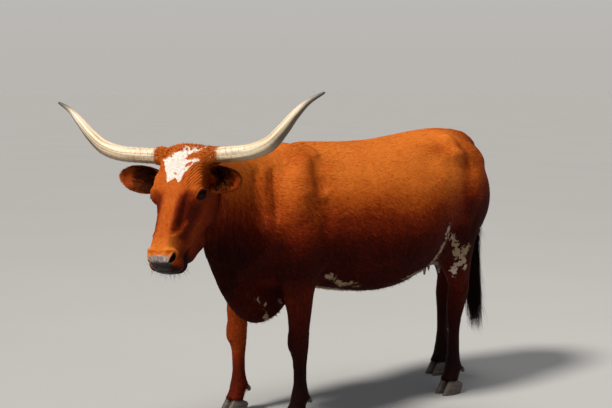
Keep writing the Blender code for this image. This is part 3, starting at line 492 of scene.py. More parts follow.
flesh_tree, flesh_owner = solids_tree()


def part_of(points):
    return flesh_owner[[flesh_tree.find_nearest(p)[2] for p in points.tolist()]]


def is_part(parts, *names):
    return np.isin(parts, [i for i, name in enumerate(PARTS) if name in names])


def smooth_skin():
    points = points_of(skin.data)
    parts = part_of(points)
    thin = is_part(parts, "tail", "udder", *LEGS)
    height = points[:, 2]
    weight = np.where(thin, 0.1 + 0.5 * rise(0.45, 0.8, height), 1.0)
    weight = np.where(is_part(parts, "tail", "udder"), 0.12, weight)
    throat = is_part(parts, "neck") * fade(0.95, 1.1, height) * fade(-0.5, -0.36, points[:, 0])
    weight *= 1 - 0.8 * throat
    relax(skin.data, weight, 26)


smooth_skin()
print("skin smoothed")

# %% [markdown]
# ## A finer mesh where the eye looks
# Lids, nostrils and lips need points about a millimetre apart, but the flank doesn't. So only the head's
# faces are divided, again on the muzzle and the forehead and once more round the eyes, and the new points
# are laid on the fine head form.

# %% Divide the head's faces and lay them on the form
NAPE = from_head([(-0.035, 0.0, -0.095)])[0]
THROAT = from_head([(0.105, 0.0, -0.292)])[0]
EYE_CENTRE = (0.2175, 0.101, -0.0545)
HEAD_LOWEST = 0.72


def ahead_of_nape(points):
    """How far each point lies in front of the cut between head and neck."""
    along = THROAT - NAPE
    normal = np.cross(along, HEAD_AXES[:, 1])
    normal /= np.linalg.norm(normal)
    if normal @ HEAD_AXES[:, 0] < 0:
        normal = -normal
    return (points - NAPE) @ normal


def divide(chosen):
    """Cuts each chosen face in four."""
    points = points_of(skin.data)
    shape = bmesh.new()
    shape.from_mesh(skin.data)
    inside = chosen(points)
    edges = [e for e in shape.edges if inside[e.verts[0].index] and inside[e.verts[1].index]]
    bmesh.ops.subdivide_edges(shape, edges=edges, cuts=1, use_grid_fill=True)
    shape.to_mesh(skin.data)
    shape.free()


def around_eyes(points, reach):
    h = to_head(points)
    h[:, 1] = np.abs(h[:, 1])
    return np.linalg.norm(h - EYE_CENTRE, axis=1) < reach


def on_face(points):
    h = to_head(points)
    front = (h[:, 0] > 0.06) & (h[:, 0] < 0.26) & (h[:, 2] > -0.07)
    muzzle = (h[:, 0] > 0.4) & (h[:, 2] > -0.22)
    return (ahead_of_nape(points) > 0.03) & (front | muzzle | around_eyes(points, 0.062))


def lay_on_form():
    points = points_of(skin.data)
    share = rise(0.004, 0.045, ahead_of_nape(points)) * (points[:, 2] > HEAD_LOWEST)
    for n in np.flatnonzero(share > 0):
        place, _, _, away = form_tree.find_nearest(points[n].tolist())
        points[n] += (np.array(place) - points[n]) * share[n] * (away < 0.03)
    set_points(skin.data, points)


divide(lambda p: (ahead_of_nape(p) > 0.008) & (p[:, 2] > HEAD_LOWEST))
lay_on_form()
divide(on_face)
divide(lambda p: around_eyes(p, 0.036))
lay_on_form()
relax(skin.data, rise(0.0, 0.02, ahead_of_nape(points_of(skin.data))), 2, 0.4)
print("skin with a fine head:", len(skin.data.polygons), "faces")

# %% [markdown]
# ## Ears
# A cow's ear is a soft leaf rolled into a cup, thick where it leaves the head and thin at the rim. Each is a
# grid of points, one sheet for the back and one for the hollow, joined round the rim. It is then united with
# the skin, so no seam is left at its root. A flat leaf bent by a modifier would lose the cup.

# %% Ears, united with the skin
EAR_LENGTH = {1: 0.188, -1: 0.212}
EAR_HALF_WIDTH = 0.056
EAR_SUNK = 0.014
EARS = {
    1: {"root": (0.106, 0.108, -0.126), "along": (0.28, 0.84, 0.47), "open": (0.35, -0.55, 0.70)},
    -1: {"root": (0.120, -0.104, -0.128), "along": (0.03, -0.92, 0.38), "open": (0.45, 0.30, 0.80)},
}


def ear_axes(side):
    along = np.array(EARS[side]["along"], float)
    along /= np.linalg.norm(along)
    opens = np.array(EARS[side]["open"], float)
    opens -= along * (opens @ along)
    opens /= np.linalg.norm(opens)
    return np.array(EARS[side]["root"]), along, opens, np.cross(along, opens)


def ear_sheet(side, t, a, depth):
    """A point of the ear at a share of its length and of its roll, sunk by a depth."""
    root, along, opens, across = ear_axes(side)
    swell = 0.36 + 0.64 * np.sin(np.minimum(1.0, t / 0.48) * math.pi / 2) ** 1.2
    tip = np.sqrt(np.maximum(0.0, 1 - (np.maximum(0.0, t - 0.52) / 0.48) ** 2.3))
    half = EAR_HALF_WIDTH * swell * tip
    roll = np.radians(150 - 62 * np.minimum(1.0, t / 0.6) - 52 * rise(0.7, 1.0, t))
    radius = half / np.sin(np.minimum(roll, math.pi / 2))
    reach = np.maximum(radius - depth, 0.0006)
    angle = roll * a
    x = reach * np.sin(angle)
    z = radius - reach * np.cos(angle)
    wave = 0.0035 * np.sin(9 * t + 2.0 * side) * np.abs(a) ** 3
    lift = z - 0.03 * (1 - t) - 0.02 * t * t + wave
    spot = root + along * (t * EAR_LENGTH[side] - EAR_SUNK)[..., None] + across * x[..., None]
    return spot + opens * lift[..., None]


def ear_mesh(side):
    t = np.concatenate([np.linspace(0, 0.9, 30), 0.9 + 0.1 * np.sin(np.linspace(0.15, 1.5, 8))])
    a = np.sin(np.linspace(-1, 1, 33) * math.pi / 2)
    grid_t, grid_a = np.meshgrid(t, a, indexing="ij")
    thick = (0.0062 - 0.0034 * np.abs(grid_a) ** 2) * (1 - 0.35 * grid_t)
    outer = ear_sheet(side, grid_t, grid_a, np.zeros_like(grid_t))
    inner = ear_sheet(side, grid_t, grid_a * 0.97, thick)
    rings = np.concatenate([outer, inner[:, ::-1]], axis=1)
    return tube("ear", [from_head(ring) for ring in rings])


def unite(piece, other):
    step = piece.modifiers.new("unite", "BOOLEAN")
    step.operation = "UNION"
    step.solver = "MANIFOLD"
    step.object = other
    apply_modifiers(piece)
    bpy.data.objects.remove(other)


for ear_side in (1, -1):
    before = len(skin.data.vertices)
    unite(skin, ear_mesh(ear_side))
    print("ear", "left" if ear_side == 1 else "right", "adds", len(skin.data.vertices) - before, "points")
drop_small_shells(skin)
skin_points = points_of(skin.data)
skin_parts = part_of(skin_points)


def soften_ear_roots():
    """Rounds the crease where each ear leaves the head."""
    h = to_head(skin_points)
    weight = np.zeros(len(h))
    for side in (1, -1):
        root, along, _, _ = ear_axes(side)
        away = (h - root) @ along
        aside = np.linalg.norm((h - root) - away[:, None] * along, axis=1)
        near = fade(0.012, 0.04, np.abs(away - 0.004)) * fade(0.05, 0.075, aside)
        weight = np.maximum(weight, near)
    relax(skin.data, weight, 10)


soften_ear_roots()
print("skin with ears:", len(skin.data.polygons), "faces")

# %% [markdown]
# ## Modelling with strokes
# A sculptor raises a bone or presses a hollow by drawing a tool along the clay. The same is done here: a
# stroke is a short line with a width and a height, and each point of the skin near it moves along its own
# normal. It is quick, it can be read and changed, and it doesn't need a picture.

# %% The stroke tool
def from_line(points, line):
    """Each point's distance from a line of points."""
    nearest = np.full(len(points), np.inf)
    for a, b in zip(line[:-1], line[1:]):
        span = b - a
        t = np.clip((points - a) @ span / max(span @ span, 1e-12), 0, 1)
        nearest = np.minimum(nearest, np.linalg.norm(points - (a + t[:, None] * span), axis=1))
    return nearest


def draw_strokes(strokes):
    """Moves the skin along its normals by every stroke, all read from the same rest shape."""
    points, normals = points_of(skin.data), normals_of(skin.data)
    push = np.zeros(len(points))
    for line, width, height in strokes:
        line = np.array(line, float)
        if len(line) == 1:
            line = np.repeat(line, 2, axis=0)
        low, high = line.min(0) - 2.6 * width, line.max(0) + 2.6 * width
        near = np.flatnonzero(np.all((points > low) & (points < high), axis=1))
        away = from_line(points[near], line)
        push[near] += height * hump(away, width)
    set_points(skin.data, points + normals * push[:, None])
    return len(strokes)


def on_both_sides(rows, to_frame, mirror):
    made = []
    for *stroke, sides in rows:
        line, width, height = metres(stroke)
        for side in sides:
            turned = [to_frame(np.array(p, float) * (mirror if side < 0 else 1)) for p in line]
            made.append((turned, width, height))
    return made


print("a stroke fades to", round(float(hump(2.0, 1.0)), 3), "of its height at two widths")

# %% [markdown]
# The trunk's forms are the ones that light picks out on a lean cow: the top of the shoulder blade with a
# hollow behind it, the soft folds behind the shoulder, the line of the neck, the hook bone, the fold of the
# flank and faint ribs.

# %% Strokes on the body: a line, a width and a height in millimetres, and the sides it is drawn on
ONE, BOTH = (1,), (1, -1)
BODY_STROKES = [
    ([(-466, -30, 1240), (-420, -53, 1234), (-385, -82, 1218), (-370, -110, 1196)], 17, 10, BOTH),
    ([(-430, -20, 1262), (-375, -45, 1252), (-340, -85, 1232)], 20, -6, BOTH),
    ([(-385, -152, 1154), (-415, -178, 1129), (-395, -196, 1080)], 46, -13, BOTH),
    ([(-440, -214, 995), (-400, -218, 965)], 45, -11, BOTH),
    ([(-510, -215, 1036), (-450, -210, 1046), (-395, -209, 1006)], 15, 3.5, ONE),
    ([(-373, -189, 1075), (-358, -200, 1048), (-400, -207, 1015)], 14, 3.5, ONE),
    ([(-350, -200, 1000), (-335, -210, 960), (-360, -222, 910)], 15, 3, ONE),
    ([(-490, -215, 1045), (-420, -209, 1030), (-370, -210, 990)], 17, 3.5, (-1000,)),
    ([(-600, -113, 1133), (-616, -141, 1081), (-629, -165, 1017), (-640, -190, 930)], 13, -9, BOTH),
    (
        [(-649, -113, 1135), (-671, -139, 1050), (-679, -160, 976), (-686, -209, 894), (-664, -225, 833)],
        20, 8, BOTH,
    ),
    (
        [(-705, -120, 1120), (-722, -130, 1050), (-738, -140, 970), (-742, -160, 880), (-730, -170, 800)],
        18, -9, BOTH,
    ),
    ([(-393, -226, 906), (-408, -236, 824), (-402, -229, 738)], 30, -11, BOTH),
    ([(-520, -230, 860), (-500, -235, 760), (-510, -225, 680)], 45, 8, BOTH),
    ([(-600, -225, 800), (-585, -225, 710)], 14, -5, BOTH),
    ([(380, -150, 1243), (402, -168, 1215)], 32, 15, BOTH),
    ([(391, -137, 1250), (467, -147, 1234), (560, -140, 1170)], 28, 6, BOTH),
    ([(220, -215, 1150), (310, -215, 1115)], 65, -16, BOTH),
    ([(300, -170, 1196), (350, -185, 1185)], 26, -6, BOTH),
    ([(415, -188, 1190), (445, -200, 1110)], 32, -11, BOTH),
    ([(585, -160, 1135), (610, -130, 1110)], 26, 8, BOTH),
    ([(505, -215, 1040), (475, -235, 960)], 40, 6, BOTH),
    ([(-1055, -255, 905), (-1030, -230, 850), (-995, -190, 825)], 30, 9, ONE),
    ([(345, -160, 1205), (250, -255, 1050), (235, -285, 930)], 22, 4, BOTH),
    ([(545, 0, 1270), (600, 0, 1250)], 30, 7, ONE),
    ([(590, -58, 1195), (620, -50, 1160)], 28, -10, BOTH),
    ([(565, -170, 1020), (505, -222, 900), (465, -235, 800)], 18, -5, BOTH),
    ([(440, -247, 950), (400, -248, 860)], 50, 6, BOTH),
    ([(278, -288, 856), (262, -256, 745), (236, -218, 679), (171, -212, 634)], 16, 6, BOTH),
    ([(330, -262, 860), (315, -235, 770)], 22, -7, BOTH),
    ([(-775, -50, 720), (-710, -65, 580), (-630, -66, 500)], 14, -6, BOTH),
    ([(-720, -70, 700), (-660, -75, 600), (-590, -70, 540)], 12, 5, BOTH),
    ([(-300, 0, 1262), (100, 0, 1262), (400, 0, 1300)], 16, 3, ONE),
]
for rib in range(7):
    rib_x = -270 + 68 * rib
    BODY_STROKES.append(
        ([(rib_x, -245, 1070), (rib_x + 30, -300, 930), (rib_x + 55, -300, 790)], 17, 2.2, BOTH),
    )
print(
    "strokes on the body:",
    draw_strokes(on_both_sides(BODY_STROKES, lambda p: p - MIDDLE, np.array((1, -1, 1)))),
)

# %% [markdown]
# The lower legs are mostly bone and cord. Grooves part the cords from the cannon bone, the knee and the hock
# have flat bony faces, and the fetlock stands out behind.

# %% Strokes on the legs
FOOT_X = {("front", LEFT): -0.50, ("front", RIGHT): -0.61, ("hind", LEFT): 0.43, ("hind", RIGHT): 0.65}
FOOT_Y = {"front": 0.165, "hind": 0.160}


def leg_strokes(end, side):
    x, y = FOOT_X[end, side], FOOT_Y[end] * side
    rows = []
    for out in (1, -1):
        rows.append(
            ([(x + 0.014, y + out * 0.033, 0.32), (x + 0.014, y + out * 0.031, 0.165)], 0.0105, -0.0065),
        )
        rows.append(([(x - 0.006, y + out * 0.04, 0.13)], 0.019, 0.005))
        rows.append(([(x + 0.03, y + out * 0.02, 0.122)], 0.017, 0.0065))
    rows.append(([(x - 0.04, y, 0.092), (x - 0.05, y, 0.07)], 0.016, -0.0055))
    if end == "front":
        rows.append(([(x - 0.05, y, 0.4), (x - 0.052, y, 0.352)], 0.024, 0.008))
        rows.append(([(x + 0.045, y, 0.408)], 0.016, 0.0095))
        rows.append(([(x - 0.03, y, 0.455)], 0.02, -0.005))
        rows.append(([(x - 0.04, y, 0.312), (x - 0.03, y, 0.29)], 0.018, -0.006))
        rows.append(([(x - 0.01, y + side * 0.055, 0.6), (x - 0.02, y + side * 0.05, 0.47)], 0.014, -0.0065))
    else:
        for out in (1, -1):
            rows.append(
                ([(x + 0.045, y + out * 0.03, 0.62), (x + 0.042, y + out * 0.034, 0.53)], 0.017, -0.012),
            )
            rows.append(([(x + 0.005, y + out * 0.043, 0.475)], 0.02, 0.007))
        rows.append(([(x - 0.035, y, 0.52), (x - 0.03, y, 0.47)], 0.018, -0.006))
        rows.append(([(x + 0.075, y, 0.525)], 0.014, 0.004))
    return [([np.array(p) - MIDDLE for p in line], width, height) for line, width, height in rows]


print("strokes on the legs:", sum(draw_strokes(leg_strokes(end, side)) for end, side in FOOT_X))

# %% [markdown]
# On the face the strokes give the ridge that slants down the cheek, the edges of the nose bone, the groove
# that runs from the eye, the cheek muscle's front edge, the temple's hollow and a vein or two.

# %% Strokes on the head
CHEEK_RIDGE = [(330, 66, -64), (350, 62, -56), (373.3, 56.6, -54.2), (409, 44, -26)]
WING_RIDGE = [(476, 34, -18), (472, 45, -24), (466, 54, -40), (464, 58, -66)]
VALLEY = [(232, 74, -14), (250, 66, -14), (280, 63, -22), (303, 60, -27), (348, 55, -34)]
HEAD_STROKES = [
    (CHEEK_RIDGE, 8, 5.8, BOTH),
    (VALLEY, 16.5, -8.5, BOTH),
    ([(395, 55, -60), (420, 50, -48)], 10, -3.5, BOTH),
    ([(300, 65, -115), (315, 60, -190), (290, 58, -255)], 13, -4.5, BOTH),
    ([(240, 50, -6), (310, 38, -7), (400, 32, -10), (450, 32, -16)], 15, 2.6, BOTH),
    ([(205, 110, -78), (165, 108, -98), (130, 104, -115)], 13, 3, BOTH),
    ([(120, 104, -60), (145, 106, -62)], 22, -6, BOTH),
    ([(262, 86, -95), (300, 72, -110)], 12, 3, BOTH),
    ([(330, 61, -175), (375, 54, -150), (410, 53, -120)], 5, 2, BOTH),
    ([(290, 62, -80), (340, 60, -100), (400, 52, -95)], 4.5, 1.6, ONE),
    ([(250, 0, 0), (340, 0, -3), (420, 0, -6)], 14, -1.8, ONE),
    ([(120, 0, 6), (190, 0, 4)], 30, -3, ONE),
    ([(310, 30, -275), (360, 30, -262), (405, 26, -243)], 26, 11, BOTH),
    ([(150, 0, -290), (220, 0, -290), (280, 0, -280)], 30, 7, ONE),
    (WING_RIDGE, 10.5, 9.2, BOTH),
    ([(487, 58, -82), (470, 58, -100)], 10, 3.5, BOTH),
    ([(486, 22, -16), (492, 4, -18)], 5.5, -2.8, BOTH),
    ([(505, 26, -40), (520, 20, -58)], 9, 2.8, BOTH),
    ([(505, 0, -26), (530, 0, -50), (538, 0, -80)], 4.5, -3, ONE),
    ([(440, 50, -150), (470, 45, -150)], 12, 3, BOTH),
    ([(410, 52, -165), (430, 50, -185)], 10, -3, BOTH),
    ([(445, 56, -120), (430, 58, -128)], 6, -2, BOTH),
]
print("strokes on the head:", draw_strokes(on_both_sides(HEAD_STROKES, from_head, np.array((1, -1, 1)))))

# %% [markdown]
# Loose skin falls in folds. Above each eye a fan of fine wrinkles runs from the blaze out to the horn, and on
# the side of the neck long soft folds hang from the crest. Both repeat evenly, so a wave moved along the skin
# makes them better than dozens of strokes, with a slow drift so that no two are alike.

# %% Brow wrinkles and neck folds
def brow_wave(h):
    """The wrinkles over both eyes, from minus one to one, and how strong they are."""
    u, v, w = h[:, 0], np.abs(h[:, 1]), h[:, 2]
    across = 0.56 * u + 0.83 * v
    along = -0.83 * u + 0.56 * v
    across = across - 2.0 * (along + 0.072) ** 2
    drift = 0.0019 * np.sin(60 * along + 25 * across) + 0.0012 * np.sin(140 * along + 60 * across)
    wave = np.sin(2 * math.pi * (across + drift) / 0.0093)
    strong = rise(0.104, 0.124, across) * fade(0.172, 0.192, across)
    strong *= rise(-0.15, -0.118, along) * fade(-0.03, -0.006, along) * rise(-0.075, -0.03, w)
    strong *= 0.72 + 0.28 * np.sin(95 * along + 210 * across)
    return wave, strong


def neck_wave(points):
    x, y, z = (points + MIDDLE).T
    along = x + 0.28 * (z - 1.0) + 0.012 * np.sin(13 * z + 3)
    wave = np.sin(2 * math.pi * along / 0.034) + 0.5 * np.sin(2 * math.pi * along / 0.019 + 1.3)
    strong = rise(-1.02, -0.93, x) * fade(-0.72, -0.64, x)
    strong *= rise(0.7, 0.8, z) * fade(1.06, 1.18, z)
    return wave, strong


MUZZLE_FROM, MUZZLE_TRIM = 0.455, 0.11


def shorten_muzzle():
    """Draws the end of the muzzle back a little, most at the lips."""
    h = to_head(points_of(skin.data))
    past = np.maximum(h[:, 0] - MUZZLE_FROM, 0) * is_part(skin_parts, "head")
    h[:, 0] -= MUZZLE_TRIM * past
    set_points(skin.data, from_head(h))


def add_folds():
    points, normals = points_of(skin.data), normals_of(skin.data)
    fine, fine_share = brow_wave(to_head(points))
    soft, soft_share = neck_wave(points)
    face = is_part(skin_parts, "head")
    push = 0.002 * fine * fine_share * face + 0.0022 * soft * soft_share * is_part(skin_parts, "neck")
    set_points(skin.data, points + normals * push[:, None])
    return int((fine_share * face > 0.5).sum())


shorten_muzzle()
print("points in the brow wrinkles:", add_folds())

# %% [markdown]
# ## Lids, nostrils and lips
# The skin has to open for the eye. In the eye's own frame, with x along the lids and z out along the look,
# points inside the almond sink behind the eyeball, the rim stands just proud of it, and a crease follows the
# upper lid. Nostrils are slanting commas pressed in the same way, and the mouth is a groove between lips.

# %% The lids' opening
EYE_LOOK = (0.14, 0.82, 0.55)
EYE_RADIUS = 0.0212
LID_HALF_LENGTH = 0.024
LID_HALF_HEIGHT = 0.011
LID_SHIFT = -0.0032
LID_TILT = math.radians(40)


def eye_axes(side):
    """The eye's middle, and its axes: toward the inner corner, across, and out along the look."""
    look = np.array((EYE_LOOK[0], EYE_LOOK[1] * side, EYE_LOOK[2]))
    look /= np.linalg.norm(look)
    along = np.array((1.0, 0, 0)) - look * look[0]
    along /= np.linalg.norm(along)
    turned = along * math.cos(LID_TILT) - np.cross(look, along) * side * math.sin(LID_TILT)
    centre = np.array((EYE_CENTRE[0], EYE_CENTRE[1] * side, EYE_CENTRE[2]))
    return centre, np.stack([turned, np.cross(look, turned), look], 1)


def from_almond(x, y):
    """Distance outside the almond between the lids, less than nothing inside it."""
    x = x - LID_SHIFT
    half = LID_HALF_HEIGHT * np.clip(1 - (x / LID_HALF_LENGTH) ** 2, 0, 1) ** 0.75
    over, past = np.abs(y) - half, np.abs(x) - LID_HALF_LENGTH
    outside = np.hypot(np.maximum(over, 0) * 0.9, np.maximum(past, 0))
    return np.where((over < 0) & (past < 0), np.maximum(over * 0.8, past), outside)


def open_eye(points, side):
    centre, axes = eye_axes(side)
    local = (to_head(points) - centre) @ axes
    near = np.flatnonzero((local[:, 2] > -0.002) & (np.hypot(local[:, 0], local[:, 1]) < 0.045))
    x, y, z = local[near].T
    upper = -side * y > 0
    d = from_almond(x, y)
    globe = np.sqrt(np.maximum(EYE_RADIUS**2 - x * x - y * y, 0))
    rim = np.maximum(globe + np.where(upper, 0.0042, 0.0026), z - 0.0045)
    pocket = np.maximum(globe - 0.0018, z - 0.0085)
    skin_z = rim + (z - rim) * rise(0.003, np.where(upper, 0.0125, 0.0105), d)
    skin_z -= np.where(upper, 0.003, 0.0022) * hump(d - np.where(upper, 0.0085, 0.009), 0.0019)
    skin_z += np.where(upper, 0.002, 0.0012) * hump(d - 0.013, 0.003)
    skin_z -= np.where(upper, 0.0016, 0.0014) * hump(d - 0.0175, 0.002)
    skin_z = np.where(globe > 0.006, np.maximum(skin_z, globe + 0.0026), skin_z)
    local[near, 2] = pocket + (skin_z - pocket) * rise(-0.001, 0.0006, d)
    moved = points.copy()
    moved[near] = from_head(local[near] @ axes.T + centre)
    return moved


print("lids:", round(2000 * LID_HALF_LENGTH), "mm long over an eyeball of", round(2000 * EYE_RADIUS), "mm")

# %% The nostrils
NOSTRIL = (0.4905, 0.049, -0.048)
NOSTRIL_LOOK = (0.55, 0.5, 0.67)
NOSTRIL_HALF_LENGTH, NOSTRIL_HALF_WIDTH = 0.018, 0.008


def nostril_axes(side):
    look = np.array((NOSTRIL_LOOK[0], NOSTRIL_LOOK[1] * side, NOSTRIL_LOOK[2]))
    look /= np.linalg.norm(look)
    along = np.array((0.9, -0.36 * side, -0.18))
    along -= look * (along @ look)
    along /= np.linalg.norm(along)
    centre = np.array((NOSTRIL[0], NOSTRIL[1] * side, NOSTRIL[2]))
    return centre, np.stack([along, np.cross(look, along), look], 1)


def nostril_reach(points, side):
    """How many nostril widths each point lies from the middle of the comma."""
    centre, axes = nostril_axes(side)
    local = (to_head(points) - centre) @ axes
    bend = side * 9.0 * (local[:, 0] + 0.004) ** 2
    slim = NOSTRIL_HALF_WIDTH - 0.1 * np.maximum(0, local[:, 0])
    reach = np.hypot(local[:, 0] / NOSTRIL_HALF_LENGTH, (local[:, 1] + bend) / np.maximum(slim, 0.004))
    return np.where(np.abs(local[:, 2]) < 0.03, reach, 9.0), axes[:, 2]


def open_nostril(points, side):
    reach, look = nostril_reach(points, side)
    push = -0.017 * fade(0.5, 1.05, reach) + 0.0026 * hump(reach - 1.5, 0.38)
    return points + push[:, None] * (HEAD_AXES @ look)


print("nostrils:", round(2000 * NOSTRIL_HALF_LENGTH), "mm long")

# %% The line of the mouth, and all the openings made
MOUTH_CORNER = (0.405, 0.062, -0.15)
MOUTH_FRONT = (0.554, 0.0, -0.118)


def mouth_line():
    """The line between the lips, found on the head's form from corner to corner."""
    found = []
    for j in range(41):
        turn = math.pi * (j / 40 - 0.5)
        u = MOUTH_CORNER[0] + (MOUTH_FRONT[0] - MOUTH_CORNER[0]) * math.cos(turn) ** 0.8
        w = MOUTH_CORNER[2] + (MOUTH_FRONT[2] - MOUTH_CORNER[2]) * math.cos(turn) ** 0.5
        outside = from_head((u + 0.06 * math.cos(turn), -0.16 * math.sin(turn), w))
        inside = from_head((u - 0.05 * math.cos(turn), 0, w))
        hit = form_tree.ray_cast(outside.tolist(), Vector(inside - outside).normalized())[0]
        place = to_head(np.array(hit))
        place[0] -= MUZZLE_TRIM * max(place[0] - MUZZLE_FROM, 0)
        found.append(from_head(place))
    return found


lips = mouth_line()
points = points_of(skin.data)
for side in (1, -1):
    points = open_nostril(open_eye(points, side), side)
set_points(skin.data, points)
points, normals = points_of(skin.data), normals_of(skin.data)
from_lips = from_line(points, lips)
groove = -0.0055 * hump(from_lips, 0.0026) + 0.0018 * hump(from_lips - 0.0075, 0.004)
set_points(skin.data, points + normals * (groove * (from_lips < 0.02))[:, None])
print("mouth line:", round(sum(np.linalg.norm(b - a) for a, b in zip(lips[:-1], lips[1:])), 3), "m")

# %% [markdown]
# ## Room for the coat
# The solids were measured over the hair. The skin therefore lies a few millimetres inside them, a little less
# on the face, where the hair is shortest, and not at all at the thin rims of the ears.

# %% Set the skin in by the depth of the coat
COAT_DEPTH = 0.003


def set_in():
    points, normals = points_of(skin.data), normals_of(skin.data)
    depth = np.full(len(points), COAT_DEPTH)
    h = to_head(points)
    crown = fade(0.03, 0.085, h[:, 0]) * rise(-0.12, -0.05, h[:, 2])
    crown *= 1 - 0.9 * rise(0.08, 0.105, np.abs(h[:, 1]))
    depth = np.where(is_part(skin_parts, "head"), 0.0012 + 0.0062 * crown, depth)
    depth[is_part(skin_parts, "ear_left", "ear_right")] = 0.0
    depth[is_part(skin_parts, "tail")] = 0.0015
    legs = is_part(skin_parts, *LEGS)
    depth[legs] = 0.0008 + 0.0017 * rise(0.1, 0.55, points[legs][:, 2])
    set_points(skin.data, points - normals * depth[:, None])


set_in()
skin.data.shade_smooth()
skin_points, skin_normals = points_of(skin.data), normals_of(skin.data)
print("skin set in, lowest point", round(skin_points[:, 2].min(), 4))

# %% [markdown]
# ## Markings
# She is a red cow with a ragged white blaze, a white line along the fold of the flank, a mottled patch on the
# thigh and pale spots under the belly and brisket. Each patch is a named shape on the body. Every point keeps
# its distance from the nearest edge, and the material frays that edge, so the patch stays crisp on skin and
# coat alike. Painting a picture would tie the markings to one view.

# %% Shapes of the white markings
BLAZE = metres([
    (83, -74), (110, -62), (145, -45), (183, -30), (178, -20), (167, -6),
    (174, 6), (187, 22), (172, 31), (148, 40), (124, 53), (103, 72),
    (79, 87), (83, 70), (89, 45), (81, 26), (66, 33), (57, 45),
    (43, 63), (43, 102), (36, 86), (35, 49), (30, 27), (39, 1),
    (51, -34), (67, -39), (76, -51),
])
RED_ISLAND = metres([(130, 32), (99, 43), (97.5, 60), (112, 59), (123, 44)])
RED_SPOT = metres((148.7, -2, 5))
WHITE_CHAINS = metres([
    [
        (278, -288, 856, 4), (264, -285, 816, 10), (262, -262, 765, 12), (246, -247, 718, 13),
        (236, -218, 679, 14), (212, -206, 652, 15), (171, -212, 634, 16), (111, -226, 624, 15),
        (30, -230, 595, 8),
    ],
    [(-331, -163, 648, 24)],
    [(-296, -155, 626, 10), (-249, -142, 602, 20), (-209, -174, 611, 9)],
    [(-173, -147, 583, 12)],
    [(-360, -50, 590, 30), (-200, -50, 550, 45), (0, -30, 535, 55), (180, -20, 570, 40)],
    [(-617, -66, 535, 11)],
    [(-531, -61, 545, 9)],
    [(-603, -50, 489, 13), (-560, 20, 450, 26)],
    [(-658, -67, 571, 6)],
])
MOTTLED_CHAINS = metres([
    [
        (272, -282, 825, 6), (300, -268, 800, 12), (339, -250, 779, 15), (361, -244, 739, 18),
        (380, -241, 705, 26), (410, -232, 680, 26), (420, -232, 654, 20), (393, -229, 647, 16),
        (377, -209, 613, 17),
    ],
    [(380, -241, 705, 20), (416, -242, 707, 22), (445, -240, 722, 15)],
    [(420, -232, 654, 12), (440, -225, 628, 9)],
    [(397, -199, 573, 7)],
])


def inside_outline(places, outline):
    """Distance inside a closed outline in the plane, less than nothing outside it."""
    corners = np.array(outline, float)
    nearest = np.full(len(places), np.inf)
    within = np.zeros(len(places), bool)
    for a, b in zip(corners, np.roll(corners, -1, axis=0)):
        span = b - a
        t = np.clip((places - a) @ span / (span @ span), 0, 1)
        nearest = np.minimum(nearest, np.linalg.norm(places - (a + t[:, None] * span), axis=1))
        crosses = (a[1] > places[:, 1]) != (b[1] > places[:, 1])
        at = a[0] + (places[:, 1] - a[1]) / (b[1] - a[1] + 1e-12) * (b[0] - a[0])
        within ^= crosses & (places[:, 0] < at)
    return np.where(within, nearest, -nearest)


def inside_chain(points, chain):
    """Distance inside a row of overlapping spots that swell and shrink."""
    rows = np.array(chain if len(chain) > 1 else chain * 2, float)
    best = np.full(len(points), -np.inf)
    for a, b in zip(rows[:-1], rows[1:]):
        span = b[:3] - a[:3]
        t = np.clip((points - a[:3]) @ span / max(span @ span, 1e-12), 0, 1)
        away = np.linalg.norm(points - (a[:3] + t[:, None] * span), axis=1)
        best = np.maximum(best, a[3] + (b[3] - a[3]) * t - away)
    return best


def white_marks(points, parts):
    """How far each point lies inside a white marking, and how mottled it is there."""
    h, own = to_head(points), points + MIDDLE
    face = is_part(parts, "head") & (h[:, 2] > -0.06)
    blaze = inside_outline(h[:, :2], BLAZE)
    blaze = np.minimum(blaze, -inside_outline(h[:, :2], RED_ISLAND))
    blaze = np.minimum(blaze, np.linalg.norm(h[:, :2] - RED_SPOT[:2], axis=1) - RED_SPOT[2])
    white = np.where(face, blaze, -1.0)
    body = ~is_part(parts, "head", "ear_left", "ear_right", "tail")
    far = own * (1, -1, 1) + (0.012, 0, 0.004)
    for chain in WHITE_CHAINS:
        either_side = np.maximum(inside_chain(own, chain), inside_chain(far, chain) - 0.002)
        white = np.maximum(white, np.where(body, either_side, -1.0))
    mottled = np.full(len(points), -1.0)
    for chain in MOTTLED_CHAINS:
        mottled = np.maximum(mottled, np.where(body, inside_chain(own, chain), -1.0))
    top = fade(0.035, 0.06, h[:, 0])
    mottle = np.where(mottled > white, 0.8, np.where(face, 0.15 + 0.85 * top, 0.42))
    return np.maximum(white, mottled), mottle


print("white shapes on the body:", len(WHITE_CHAINS) + len(MOTTLED_CHAINS))

# %% [markdown]
# The red itself changes over the body. It is orange along the back and the front of the face, deep chestnut
# on the lower flanks and almost black on the lower legs, the chin, the lids and inside the ears. Part of that
# is her own colour and part is painted shade and light. The skin is painted darker low down, where it faces
# down, on the rump, in the hollows behind the shoulder, below the hook bone and down the thigh, on the sides
# of the face and in its grooves. It is painted lighter on the far foreleg, the cheek ridge and the nostril
# wings. Those shades follow height and place, so they are worked out for each point too.

# %% Shades of the red, with painted shade and light
def near_eyes(h, reach, soft):
    best = np.zeros(len(h))
    for side in (1, -1):
        centre, axes = eye_axes(side)
        local = (h - centre) @ axes
        # Behind the outer corner the reach is stretched; for the dark round the eyes this stretch is a painted
        # shadow.
        outer = np.where(local[:, 0] < 0, 0.68, 0.92)
        d = np.maximum(from_almond(local[:, 0] * outer, local[:, 1]), 0)
        share = fade(reach, reach + soft, d) * (local[:, 2] > -0.01)
        best = np.maximum(best, share)
    return best


